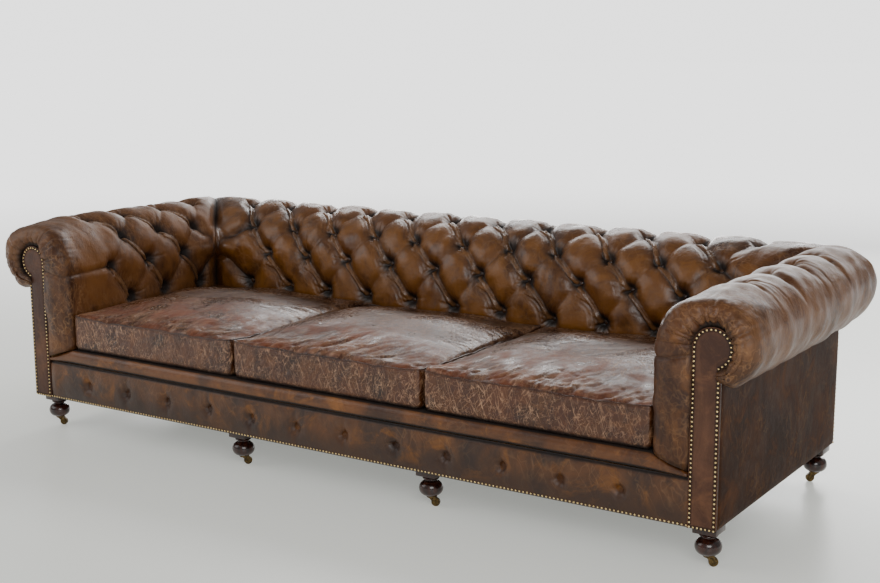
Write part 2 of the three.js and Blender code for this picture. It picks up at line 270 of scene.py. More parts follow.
baseLeather = {
    **shades((50, 28, 13), (88, 52, 20), (118, 74, 24)), "patchScale": 4.2, "blotchScale": 9.0,
    "lightShare": 0.75, "fullShare": 0.75, "fullRough": 0.10, "ridgeShare": 0.24,
    "streak": tone(108, 70, 38), "streakShare": 0.3, "streakScale": 16.0,
    "streakStretch": (1, 1, 0.35), "streakTurn": (0.0, 0.0, 0.0),
    "crack": tone(158, 118, 80), "crackShare": 0.3, "crackScale": 18.0, "crackWidth": 0.022,
    "crackStretch": (1, 1, 0.4), "crackTurns": (((0.0, 0.5, 0.4), 0.6), ((0.4, -0.6, 0.0), 0.5)),
    "crackPatch": 6.0, "crackLeast": 0.0, "crackDepth": 0.3, "wander": 0.05,
    "worn": tone(150, 114, 84), "wornShare": 0.55, "wornRough": -0.03,
    "footShade": 0.0, "footBand": (0.150, 0.225),
    # the fold colour is the painted shade of folds, pits and gaps
    "fold": tone(15, 7, 4), "hollowShadeShare": 0.92,
    "grain": 0.22, "buckle": 0.35, "buckleScale": 34.0, "streakBump": 0.3,
    "gloss": 0.20, "specular": 0.45, "coat": 0.10,
}
tuftedLeather = makeLeather("tuftedLeather", baseLeather)
# a darker copy for the buttons: painted shade of the pits they sit in
shadedButtonLeather = makeLeather("shadedButtonLeather", {
    **baseLeather, **shades((30, 15, 8), (50, 27, 12), (62, 36, 14))})
armLeather = makeLeather("armLeather", {
    **baseLeather, **shades((48, 27, 14), (78, 46, 22), (104, 64, 24)),
    "wornShare": 0.6, "crackShare": 0.32, "crackStretch": (0.4, 1.3, 0.4),
    "crackTurns": (((0.0, 0.0, 0.12), 0.8), ((0.15, 0.0, -0.15), 0.6)), "crackLeast": 0.3,
    "crackScale": 46.0, "crackWidth": 0.035, "streakBump": 0.12,
    "worn": tone(116, 82, 55), "streakStretch": (0.35, 1, 0.35), "streakShare": 0.55,
    "streakScale": 30.0, "gloss": 0.35, "specular": 0.34, "coat": 0.03})
cushionLeather = makeLeather("cushionLeather", {
    **baseLeather, **shades((36, 19, 11), (66, 38, 20), (96, 60, 30)),
    "lightShare": 0.6, "crackShare": 0.8, "crackStretch": (1.6, 1.6, 0.2), "crackLeast": 0.5,
    "crackTurns": (((0.0, 0.35, 0.0), 0.8), ((0.35, -0.45, 0.1), 0.75), ((1.25, 0.3, 0.45), 0.7)),
    "crackScale": 27.0, "crackPatch": 3.0, "crackWidth": 0.018, "crack": tone(170, 132, 102),
    "wander": 0.022, "crackDepth": 0.45, "worn": tone(118, 62, 34), "wornShare": 0.75,
    "wornRough": 0.48, "ridgeShare": 0.5, "gloss": 0.13, "coat": 0.06})
lipLeather = makeLeather("lipLeather", {
    **baseLeather, **shades((56, 32, 16), (104, 62, 26), (140, 88, 34)),
    "streakStretch": (0.3, 1, 1), "crackStretch": (0.4, 1.2, 1.2), "crackShare": 0.15, "gloss": 0.34})
railLeather = makeLeather("railLeather", {
    **baseLeather, **shades((44, 26, 15), (84, 50, 20), (118, 72, 18)),
    "patchScale": 5.0, "lightShare": 0.9, "footShade": 0.7, "crackShare": 0.2, "gloss": 0.33})
facingLeather = makeLeather("facingLeather", {
    **baseLeather, **shades((58, 35, 24), (88, 57, 41), (100, 66, 44)),
    "crackShare": 0.06, "crackWidth": 0.012, "streak": tone(108, 74, 52),
    "gloss": 0.36, "specular": 0.30, "coat": 0.04})
panelLeather = makeLeather("panelLeather", {
    **baseLeather, **shades((44, 26, 16), (66, 42, 28), (86, 54, 32)),
    "streak": tone(92, 62, 40), "streakShare": 0.16, "streakScale": 9.0, "streakBump": 0.1,
    "streakStretch": (1, 1, 0.45), "crackShare": 0.2, "buckle": 0.2, "gloss": 0.5, "specular": 0.08,
    "coat": 0.0})
weltLeather = makeLeather("weltLeather", {
    **baseLeather, **shades((40, 20, 12), (62, 33, 20), (84, 50, 30))})


def makeFootWood():
    wood = Finish("footWood")
    ring = wood.noise(wood.bend(wood.place((1, 1, 0.2)), 12.0, 0.02), 90.0, 5.0, 0.6)
    base = wood.mix(wood.ease(ring, 0.35, 0.65), tone(30, 14, 10), tone(62, 32, 21))
    scuffs = wood.ease(wood.noise(wood.place(), 60.0, 6.0, 0.7), 0.6, 0.75)
    base = wood.mix(scuffs * 0.35, base, tone(112, 66, 44))
    bumps = wood.bump(ring + scuffs * 0.5, 0.15, 0.0006)
    return wood.surface({
        "Base Color": base, "Roughness": 0.24 + scuffs * 0.3, "Normal": bumps,
        "Coat Weight": 0.35, "Coat Roughness": 0.15})


def makeMetal(name, bright, dull, rough, share):
    metal = Finish(name)
    stain = metal.ease(metal.noise(metal.place(), 140.0, 5.0, 0.65), 0.35, 0.68)
    base = metal.mix(stain * share, bright, dull)
    bumps = metal.bump(metal.noise(metal.place(), 420.0, 3.0), 0.12, 0.0004)
    return metal.surface({"Base Color": base, "Metallic": 1.0 - stain * 0.25,
                          "Roughness": rough + stain * 0.25, "Normal": bumps})


def makeTimber():
    timber = Finish("sawnTimber")
    rings = timber.noise(timber.bend(timber.place((0.4, 0.4, 3.0)), 2.0, 0.3), 14.0, 8.0, 0.6)
    base = timber.mix(timber.ease(rings, 0.35, 0.68), tone(150, 112, 70), tone(186, 150, 104))
    return timber.surface({"Base Color": base, "Roughness": 0.7 + rings * 0.1,
                           "Normal": timber.bump(rings, 0.3, 0.001)})


def makeCloth(name, dark, light, pitch):
    cloth = Finish(name)
    across = cloth.node("ShaderNodeTexWave", {"bands_direction": "X"},
                        {"Vector": cloth.place(), "Scale": pitch, "Distortion": 0.4})
    down = cloth.node("ShaderNodeTexWave", {"bands_direction": "Y"},
                      {"Vector": cloth.place(), "Scale": pitch, "Distortion": 0.4})
    weave = across * down
    base = cloth.mix(weave, dark, light)
    return cloth.surface({"Base Color": base, "Roughness": 0.92,
                          "Normal": cloth.bump(weave, 0.4, 0.0008)})


footWood = makeFootWood()
agedBrass = makeMetal("agedBrass", tone(112, 92, 60), tone(36, 31, 25), 0.3, 0.9)
nailBrass = makeMetal("nailBrass", tone(236, 208, 150), tone(150, 116, 66), 0.2, 0.5)
springSteel = makeMetal("springSteel", tone(150, 152, 156), tone(90, 88, 86), 0.35, 0.6)
sawnTimber = makeTimber()
platformCanvas = makeCloth("platformCanvas", tone(140, 126, 102), tone(176, 162, 136), 260.0)
dustCloth = makeCloth("dustCloth", tone(18, 17, 16), tone(44, 42, 40), 320.0)
print("materials made")


# mesh helpers

def addObject(name, data):
    # data: a mesh, a lamp or a camera
    made = bpy.data.objects.new(name, data)
    bpy.context.scene.collection.objects.link(made)
    return made


def addField(mesh, name, values):
    layer = mesh.attributes.new(name, "FLOAT", "POINT")
    layer.data.foreach_set("value", np.asarray(values, np.float32).ravel())


def faceOutwards(mesh):
    work = bmesh.new()
    work.from_mesh(mesh)
    bmesh.ops.recalc_face_normals(work, faces=work.faces)
    work.to_mesh(mesh)
    work.free()


def makePiece(name, points, faces, material, fields=None):
    mesh = bpy.data.meshes.new(name)
    mesh.from_pydata(np.asarray(points, float).tolist(), [], faces)
    mesh.validate()
    mesh.shade_smooth()
    for fieldName, values in (fields or {}).items():
        addField(mesh, fieldName, values)
    mesh.materials.append(material)
    faceOutwards(mesh)
    return addObject(name, mesh)


def settle(piece, nodeNames):
    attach(piece, "sofa")
    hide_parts(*nodeNames)


def skinFaces(count, ring):
    # four-sided faces between count loops of ring points each
    start = np.arange(count - 1)[:, None] * ring
    k = np.arange(ring)[None, :]
    nextK = (k + 1) % ring
    quads = np.stack([start + k, start + nextK, start + ring + nextK, start + ring + k], -1)
    return quads.reshape(-1, 4)


def tubeOfRows(rows):
    # rows: array (n, m, 3) of closed loops; gives points and faces of the skin round them, with end caps
    count, ring = rows.shape[:2]
    faces = skinFaces(count, ring).tolist()
    faces.append(list(range(ring))[::-1])
    faces.append([(count - 1) * ring + i for i in range(ring)])
    return rows.reshape(-1, 3), faces


def closedTube(rows):
    # the same for loops that come back to the first one
    count, ring = rows.shape[:2]
    faces = skinFaces(count + 1, ring) % (count * ring)
    return rows.reshape(-1, 3), faces.tolist()


def smoothStep(low, high, value):
    t = np.clip((value - low) / (high - low), 0, 1)
    return t * t * (3 - 2 * t)


def ripple(across, along, seed, size, amount):
    # slow waves in a few directions, for the unevenness of stuffing
    draw = random.Random(seed)
    total = np.zeros_like(across)
    for _ in range(9):
        angle = draw.uniform(0, math.tau)
        wave = math.tau / (size * draw.uniform(0.6, 1.7))
        phase = draw.uniform(0, math.tau)
        total += np.sin((across * math.cos(angle) + along * math.sin(angle)) * wave + phase)
    return total * amount / 3


def creaseAmount(across, along, start, end, reach, strength=(1.0, 1.0), bow=0.0, lean=0.0, power=2.2):
    # how strongly a fold from start to end presses at each point: 1 in the fold, 0 beyond its reach
    start = np.array(start, float)
    end = np.array(end, float)
    run = end - start
    length = max(float(np.hypot(*run)), 1e-6)
    unit = run / length
    middle = (start + end) / 2
    room = reach * 1.6 + abs(bow)
    near = ((np.abs(across - middle[0]) < abs(run[0]) / 2 + room)
            & (np.abs(along - middle[1]) < abs(run[1]) / 2 + room))
    amount = np.zeros_like(across)
    if not near.any():
        return amount
    du = across[near] - start[0]
    dv = along[near] - start[1]
    forward = du * unit[0] + dv * unit[1]
    t = np.clip(forward / length, 0, 1)
    side = -du * unit[1] + dv * unit[0] - bow * np.sin(np.pi * t)
    past = forward - t * length
    width = reach * (1 + lean * np.sign(side))
    away = np.hypot(side, past) / width
    if power:
        press = np.clip(1 - away, 0, 1) ** power
    else:                            # a roll, round on top
        press = np.sqrt(np.clip(1 - away ** 2, 0, 1))
    amount[near] = press * (strength[0] + (strength[1] - strength[0]) * t)
    return amount


def crease(start, end, reach, strength=(1.0, 1.0), **shape):
    return {"start": start, "end": end, "reach": reach, "strength": strength, **shape}


# section of the rolls

padLook = {
    "wallHidden": 0.43, "hiddenStep": 0.016, "wallStep": 0.0035, "bendStep": 0.0035,
    "rollStep": 0.0062, "lengthStep": 0.0042,
    "tuckAngle": -65, "lift": 0.005, "foldDepth": 0.026, "buttonDepth": 0.014, "pitSize": 0.021,
    "foldReach": 0.066, "foldPower": 2.2, "crossShare": (0.34, 0.50), "crossReach": 0.056,
    "pleatHeight": 0.0145, "pleatReach": 0.0088, "cutDepth": 0.0045,
    "rayDepth": 0.0066, "rayStart": 0.010, "rayLength": (0.035, 0.065), "rayWidth": (0.007, 0.011),
    "starHeight": 0.0060, "starStart": 0.018, "starLength": (0.040, 0.060), "starWidth": (0.0055, 0.0075),
    "slackSize": 0.17, "slackDepth": 0.0026, "lumpSize": 0.06, "lumpDepth": 0.0008,
    "rowHeights": (0.467, 0.597, 0.702), "topRowBend": 0.90, "footDrop": 0.12,
    "coreRadius": 0.0765, "coreDrop": 0.008, "clearance": 0.001,
    "cornerInset": 0.012, "mitreShade": 0.018, "tuckRun": 0.05, "boardGap": 0.0005,
    "seatTuck": 0.006, "seatBand": (0.42, 0.46), "seatShade": (0.43, 0.462),
    "pleatAside": 0.0125, "pleatSpacing": 0.0190, "seamReach": 0.007, "grooveReach": 0.006,
}


def bendCurve(innerAcross, rollAcross, t):
    first = np.array([innerAcross, springing])
    second = np.array([innerAcross, springing + 0.12])
    third = np.array([rollAcross - 0.1, rollTop])
    last = np.array([rollAcross, rollTop])
    t = np.asarray(t)[:, None]
    return ((1 - t) ** 3 * first + 3 * (1 - t) ** 2 * t * second
            + 3 * (1 - t) * t ** 2 * third + t ** 3 * last)


def rollSection(innerAcross, rollAcross, panelAcross):
    # outer line from the bottom of the inner wall, over the roll, to the top of the outer panel
    hidden = np.arange(padBottom, padLook["wallHidden"], padLook["hiddenStep"])
    wall = np.arange(padLook["wallHidden"], springing, padLook["wallStep"])
    heights = np.concatenate([hidden, wall])
    lower = np.stack([np.full_like(heights, innerAcross), heights], -1)
    bendCount = int(0.27 / padLook["bendStep"])
    bend = bendCurve(innerAcross, rollAcross, np.linspace(0, 1, bendCount + 1)[:-1])
    sweep = math.radians(90 - padLook["tuckAngle"])
    rollCount = int(sweep * rollRadius / padLook["rollStep"])
    angles = math.pi / 2 - np.linspace(0, sweep, rollCount + 1)
    roll = np.stack([rollAcross + rollRadius * np.cos(angles),
                     rollHeight + rollRadius * np.sin(angles)], -1)
    tuck = np.linspace(roll[-1], (panelAcross + 0.001, panelTop + 0.001), 5)[1:]
    return np.concatenate([lower, bend, roll, tuck])


def innerSection(boardInner, boardOuter, rollAcross):
    # the hidden line back round the timber, from the outer panel to the foot of the inner wall
    radius, clearance = padLook["coreRadius"], padLook["clearance"]
    centre = (rollAcross, rollHeight - padLook["coreDrop"])
    line = [(boardOuter + clearance, panelTop + 2 * clearance)]
    outwards = boardOuter + clearance - rollAcross
    inwards = boardInner - clearance - rollAcross
    start = math.atan2(-math.sqrt(radius ** 2 - outwards ** 2), outwards)
    end = math.atan2(-math.sqrt(radius ** 2 - inwards ** 2), inwards) + math.tau
    for angle in np.linspace(start, end, 12):
        line.append((centre[0] + radius * math.cos(angle), centre[1] + radius * math.sin(angle)))
    line.append((boardInner - clearance, padBottom))
    return np.array(line)


def arcLength(line):
    steps = np.hypot(*np.diff(line, axis=0).T)
    return np.concatenate([[0], np.cumsum(steps)])


def gridNormals(grid):
    alongRows = np.gradient(grid, axis=0)
    alongColumns = np.gradient(grid, axis=1)
    normal = np.cross(alongRows, alongColumns)
    return normal / np.maximum(np.linalg.norm(normal, axis=2, keepdims=True), 1e-9)


def fromButton(u, v, angle, distance):
    return u + distance * math.cos(angle), v + distance * math.sin(angle)


def tuftHeights(across, along, tuft, seed):
    # folds and buttons press the padding in, and pleats stand up from it: gives the move along the
    # normal, the painted shade of folds, pits and cuts, how high on a pleat, and how full the puff is there
    raised = np.ones_like(across)
    for fold in tuft["folds"]:
        raised *= 1 - creaseAmount(across, along, **fold)
    pressed = 1 - raised
    pleats = np.zeros_like(across)
    for pleat in tuft["pleats"]:
        np.maximum(pleats, creaseAmount(across, along, **pleat), out=pleats)
    cuts = np.zeros_like(across)
    for cut in tuft["cuts"]:
        np.maximum(cuts, creaseAmount(across, along, **cut), out=cuts)
    pits = np.zeros_like(across)
    draw = random.Random(seed)
    rays = np.zeros_like(across)
    stars = np.zeros_like(across)
    for u, v in tuft["buttons"]:
        np.maximum(pits, np.exp(-(np.hypot(across - u, along - v) / padLook["pitSize"]) ** 2), out=pits)
        turn = draw.uniform(0, math.tau)
        count = draw.randint(9, 12)
        for k in range(count):
            angle = turn + math.tau * (k + draw.uniform(-0.25, 0.25)) / count
            length = draw.uniform(*padLook["rayLength"]) * (1.45 if math.sin(angle) > 0.1 else 0.85)
            begin = fromButton(u, v, angle, padLook["rayStart"])
            finish = fromButton(u, v, angle, length)
            rays += creaseAmount(across, along, begin, finish, draw.uniform(*padLook["rayWidth"]),
                                 (draw.uniform(0.5, 1.0), 0.0), draw.uniform(-0.005, 0.005), 0.3, 1.3)
        for _ in range(draw.randint(4, 6)):          # short ridges fan out below the button
            angle = -math.pi / 2 + draw.uniform(-1.15, 1.15)
            length = draw.uniform(*padLook["starLength"])
            begin = fromButton(u, v, angle, padLook["starStart"])
            finish = fromButton(u, v, angle, length)
            star = creaseAmount(across, along, begin, finish, draw.uniform(*padLook["starWidth"]),
                                (draw.uniform(0.4, 0.9), 0.0), power=0)
            stars = np.maximum(stars, star)
    rays = np.clip(rays, 0, 1.3)
    move = (padLook["lift"] - padLook["foldDepth"] * pressed - padLook["buttonDepth"] * pits
            + padLook["pleatHeight"] * pleats - padLook["cutDepth"] * cuts - padLook["rayDepth"] * rays
            + padLook["starHeight"] * stars
            + ripple(across, along, seed, padLook["slackSize"], padLook["slackDepth"])
            + ripple(along, across, seed + 5, padLook["lumpSize"], padLook["lumpDepth"]))
    # painted shade: darkest deep in folds, pits and cuts, and taken off the pleats
    hidden = np.clip(pressed ** 2.2 * 0.85 + pits * 0.5 + cuts * 0.5 + rays * 0.15 - pleats * 0.45, 0, 1)
    hidden *= 1 - 0.85 * pleats
    full = (1 - pressed) ** 1.5 * (1 - pits)
    # the short ridges below the buttons are painted paler with the pleats: a painted highlight
    pleats = np.maximum(pleats, stars * 0.9)
    return move, hidden, pleats, full


def foldsBetween(tuft, rows, pitch, draw, falling):
    # rows: lists of button places, bottom first; each place is (lengthwise, height on the section)
    for lower, upper in zip(rows[:-1], rows[1:]):
        for u0, v0 in lower:
            for u1, v1 in upper:
                if abs(abs(u1 - u0) - pitch / 2) > pitch * 0.22:
                    continue
                bow = draw.uniform(-0.006, 0.006)
                way = 1 if u1 > u0 else -1
                deep = way == falling
                soft = 1.0 if deep else draw.uniform(*padLook["crossShare"])
                tuft["folds"].append(crease((u0, v0), (u1, v1),
                                            padLook["foldReach" if deep else "crossReach"],
                                            (soft, soft), bow=bow, lean=draw.uniform(-0.12, 0.12),
                                            power=padLook["foldPower"]))
                if not deep:
                    continue
                # the leather's spare length is tucked here, and stands as rolled pleats by the fold
                run = np.array([u1 - u0, v1 - v0])
                aside = np.array([-run[1], run[0]]) / np.hypot(*run)
                if aside[1] > 0:
                    aside = -aside                   # towards the lower puff
                full = draw.uniform(0.8, 1.0)
                for order in range(draw.choice((1, 2, 2))):
                    off = aside * (padLook["pleatAside"] + padLook["pleatSpacing"] * order)
                    rise = full * (1 - 0.4 * order)
                    low = np.array([u0, v0]) + off * 0.5 + run * (0.06 + 0.03 * order)
                    high = np.array([u1, v1]) + off * 0.6 - run * (0.10 + 0.12 * order)
                    pleatBow = -0.5 * float(np.hypot(*off)) + bow
                    groove = off * 1.75 - off
                    tuft["pleats"].append(crease(low, high, padLook["pleatReach"], (rise, rise * 0.8),
                                                 power=0, bow=pleatBow))
                    tuft["cuts"].append(crease(low + groove, high + groove, padLook["grooveReach"],
                                               (0.7, 0.2), power=1.0, bow=pleatBow))
                tuft["cuts"].append(crease((u0, v0), (u1, v1), padLook["seamReach"], bow=bow, power=1.0))


def footFolds(tuft, lowest, pitch, foot):
    # from the lowest buttons the folds run down behind the cushions
    for u, v in lowest:
        tuft["folds"].append(crease((u, v), (u, foot), 0.060, (0.7, 0.25), power=1.6))
        for way in (-1, 1):
            tuft["folds"].append(crease((u, v), (u + way * pitch / 2, foot), padLook["crossReach"],
                                        (0.35, 0.1), power=padLook["foldPower"]))


def scattered(draw, places, height):
    return [(p + draw.uniform(-0.007, 0.007), height + draw.uniform(-0.005, 0.005)) for p in places]


def buttonTable(draw, rows, whole, half, topHalf):
    places = (whole, half, whole, topHalf)
    return [scattered(draw, across, height) for across, height in zip(places, rows)]


def roundCorner(points):
    # rounds the outer corner where an arm's roll meets the back's roll, seen from above
    px = np.abs(points[..., 0]) - armRollX
    py = points[..., 1] - backRollY
    corner = (px > 0) & (py > 0)
    power = 3.2
    largest = np.maximum(px, py)
    length = (np.abs(px) ** power + np.abs(py) ** power) ** (1 / power)
    scale = np.where(corner, largest / np.maximum(length, 1e-9), 1.0)
    result = points.copy()
    result[..., 0] = np.where(corner, np.sign(points[..., 0]) * (armRollX + px * scale),
                              points[..., 0])
    result[..., 1] = np.where(corner, backRollY + py * scale, points[..., 1])
    return result


armSection = rollSection(armInnerX, armRollX, panelOuterX)
backSection = rollSection(backInnerY, backRollY, panelRearY)
armHidden = innerSection(facingInnerX - 0.004, panelOuterX - 0.011, armRollX)
backHidden = innerSection(panelRearY - 0.071, panelRearY - 0.0113, backRollY)
armReach = arcLength(armSection)
backReach = arcLength(backSection)


def rowPlaces(section, reach, innerAcross, rollAcross):
    # arc length of each button row: three by height on the inner side, the last near the top
    inner = section[:, 0] < rollAcross
    places = [float(np.interp(h, section[inner, 1], reach[inner])) for h in padLook["rowHeights"]]
    top = bendCurve(innerAcross, rollAcross, [padLook["topRowBend"]])[0]
    nearest = np.argmin(np.hypot(section[:, 0] - top[0], section[:, 1] - top[1]))
    places.append(float(reach[nearest]))
    return places


def tuckedIn(along, reach):
    # 1 where the leather ends, behind the top of the outer panel
    return smoothStep(reach[-1] - padLook["tuckRun"], reach[-1], along)


# back pad

backLook = {"pitch": 0.197, "wideColumns": 5, "seed": 11, "mitreDrop": -0.015,
            "cornerPleat": 0.096, "cornerHeight": 0.29, "cornerSize": 0.055}


def mitreBulge(along):
    return np.exp(-((along - backLook["cornerHeight"]) / backLook["cornerSize"]) ** 2)


def meetAtMitre(grid, normal, move, gap, sideNormal, along, crestRow):
    # near the mitre both pads share one direction and one depth, so that they meet
    bulge = mitreBulge(along)
    near = np.exp(-(gap / (0.026 + 0.048 * bulge)) ** 2)[..., None]
    shared = normal + sideNormal
    shared /= np.maximum(np.linalg.norm(shared, axis=-1, keepdims=True), 1e-9)
    direction = normal * (1 - near) + shared * near
    drop = backLook["mitreDrop"] * (1 - 0.8 * smoothStep(crestRow, crestRow + 0.12, along))
    drop = drop + backLook["cornerPleat"] * bulge
    drop = drop * (1 - tuckedIn(along, armReach))
    amount = move[..., None] * (1 - near) + drop[..., None] * near
    return grid + direction * amount


def shadeMitre(hidden, gap, along):
    seam = np.exp(-(gap / padLook["mitreShade"]) ** 2) * 0.8 * (1 - mitreBulge(along))
    return np.maximum(hidden, seam)


def padFields(core, hidden, full, ridge, worn):
    # the core round the timber is out of sight: all in painted shade, and with no other mark
    blank = np.zeros(core.shape[:2])
    marks = {"full": full, "ridge": ridge, "worn": worn}
    fields = {name: np.concatenate([values, blank], 1) for name, values in marks.items()}
    return {"hollow": np.concatenate([hidden, blank + 1], 1), **fields}


def backTuft(rows):
    draw = random.Random(backLook["seed"])
    pitch = backLook["pitch"]
    whole = [pitch * k for k in range(-backLook["wideColumns"], backLook["wideColumns"] + 1)]
    half = [pitch * (k + 0.5) for k in range(-backLook["wideColumns"], backLook["wideColumns"])]
    topHalf = [half[0] - pitch] + half + [half[-1] + pitch]
    table = buttonTable(draw, rows, whole, half, topHalf)
    tuft = {"folds": [], "pleats": [], "cuts": []}
    foldsBetween(tuft, table, pitch, draw, -1)
    footFolds(tuft, table[0], pitch, rows[0] - padLook["footDrop"])
    folds = tuft["folds"]
    for u, v in table[3]:            # pleats over the roll
        lean = draw.uniform(-0.012, 0.012)
        crest = rows[3] + 0.10
        onCrest = (u + lean, crest)
        folds.append(crease((u, v), onCrest, 0.056, (1.0, 0.4)))
        folds.append(crease(onCrest, (u + lean * 2, crest + 0.15), 0.040, (0.4, 0.0)))
        tuft["cuts"].append(crease((u, v), onCrest, padLook["seamReach"], (1.0, 0.3), power=1.0))
        for _ in range(3):
            side = draw.choice((-1, 1)) * draw.uniform(0.012, 0.04)
            finish = (u + side * 1.6, crest + draw.uniform(0, 0.08))
            folds.append(crease((u + side * 0.25, rows[3] + 0.012), finish, 0.013,
                                (draw.uniform(0.2, 0.45), 0.0), power=1.6))
    corner = armInnerX - padLook["cornerInset"]
    for way in (-1, 1):              # folds that run into the corner
        for row in (0, 2):
            last = table[row][0 if way < 0 else -1]
            folds.append(crease(last, (way * corner, rows[1]), 0.05, (1.0, 0.7)))
    tuft["buttons"] = [spot for row in table for spot in row]
    return tuft


def makeBackPad():
    rows = rowPlaces(backSection, backReach, backInnerY, backRollY)
    tuft = backTuft(rows)
    ends = armSection[:, 0]          # half length at each point of the section
    count = int(2 * armRollX / padLook["lengthStep"])
    t = np.linspace(-1, 1, count + 1)[:, None]
    x = t * ends[None, :]
    y = np.broadcast_to(backSection[None, :, 0], x.shape)
    z = np.broadcast_to(backSection[None, :, 1], x.shape)
    grid = np.stack([x, y, z], -1)
    along = np.broadcast_to(backReach[None, :], x.shape)
    normal = gridNormals(grid)
    if normal[count // 2, 20, 1] > 0:
        normal = -normal
    move, hidden, pleats, full = tuftHeights(x, along, tuft, backLook["seed"])
    move -= padLook["seatTuck"] * (1 - smoothStep(*padLook["seatBand"], z))
    tucked = tuckedIn(along, backReach)
    move = move * (1 - tucked)
    gap = ends[None, :] - np.abs(x)
    sideNormal = np.stack([np.sign(x) * normal[..., 1], np.zeros_like(x), normal[..., 2]], -1)
    outer = meetAtMitre(grid, normal, move, gap, sideNormal, along, rows[3])
    hidden = shadeMitre(hidden, gap, along)
    hidden = np.maximum(hidden, 0.4 * (1 - smoothStep(*padLook["seatShade"], z)))
    full = full * (1 - 0.75 * smoothStep(rows[2] - 0.02, rows[3], along))
    full = full * (1 - np.exp(-(gap / 0.05) ** 2))
    outer = roundCorner(outer)

    hiddenEnds = armHidden[:, 0] - padLook["boardGap"]
    coreX = t * hiddenEnds[None, :]
    core = np.stack([coreX, np.broadcast_to(backHidden[None, :, 0], coreX.shape),
                     np.broadcast_to(backHidden[None, :, 1], coreX.shape)], -1)
    points, faces = tubeOfRows(np.concatenate([outer, core], 1))
    crestWear = smoothStep(rows[3] - 0.05, rows[3] + 0.05, along) * (1 - hidden) * 0.2
    fields = padFields(core, hidden, full, pleats * (1 - 0.6 * tucked), crestWear)
    pad = makePiece("backPad", points, faces, tuftedLeather, fields)
    settle(pad, ["back_pad"])
    return buttonSpots(outer, x, along, tuft["buttons"], normal)


def buttonSpots(surface, across, along, buttons, normal):
    spots = []
    for u, v in buttons:
        nearest = np.argmin(np.hypot(across - u, along - v))
        i, j = np.unravel_index(nearest, across.shape)
        spots.append((surface[i, j] + normal[i, j] * 0.0005, normal[i, j]))
    return spots


# arm pads

armLook = {"pitch": 0.190, "firstWhole": -0.225, "firstHalf": -0.320, "seed": 23,
           "innerRound": 0.019, "edgeRound": 0.036, "frontRows": 36, "scrollBulge": 0.013,
           "leftFlare": 0.022, "rightTuck": -0.012, "mitreReach": 0.06, "scrollPleats": 17,
           "creases": 26}


def facingPoint(across, height):
    # the point of the facing's outline that a point of the roll's section runs in to
    if height < facingHead["z"] and across < facingHead["x"]:
        return np.array([facingInnerX, height])
    away = np.array([across - facingHead["x"], height - facingHead["z"]])
    away = away / np.hypot(*away)
    return np.array([facingHead["x"], facingHead["z"]]) + away * facingHead["radius"]


def frontRows():
    # from the facing's outline over the padded border to the edge of the roll
    rows = []
    inner = armLook["innerRound"]
    edge = armLook["edgeRound"]
    targets = np.array([facingPoint(a, h) for a, h in armSection])
    outwards = armSection - targets
    width = np.hypot(*outwards.T)
    unit = outwards / width[:, None]
    squeeze = np.minimum(1, width / (inner + edge + 0.004))
    scroll = armLook["scrollBulge"] * np.where(armSection[:, 0] < armRollX - 0.03,
                                               smoothStep(0.585, 0.68, armSection[:, 1]), 1.0)
    steps = armLook["frontRows"]
    for step in range(steps):
        t = step / steps
        if t < 0.25:
            angle = t / 0.25 * math.pi / 2
            out = squeeze * inner * (1 - math.cos(angle))
            back = inner * (1 - math.sin(angle)) + np.zeros_like(width)
        elif t < 0.6:
            share = (t - 0.25) / 0.35
            out = squeeze * inner + share * (width - squeeze * (inner + edge))
            back = -0.004 * math.sin(math.pi * share) + np.zeros_like(width)
        else:
            angle = (t - 0.6) / 0.4 * math.pi / 2
            out = width - squeeze * edge * (1 - math.sin(angle))
            back = edge * (1 - math.cos(angle)) + np.zeros_like(width)
        back = back - scroll * math.sin(math.pi * t) ** 0.8
        place = targets + unit * out[:, None]
        rows.append(np.stack([place[:, 0], padFront + back, place[:, 1]], -1))
    return np.array(rows)


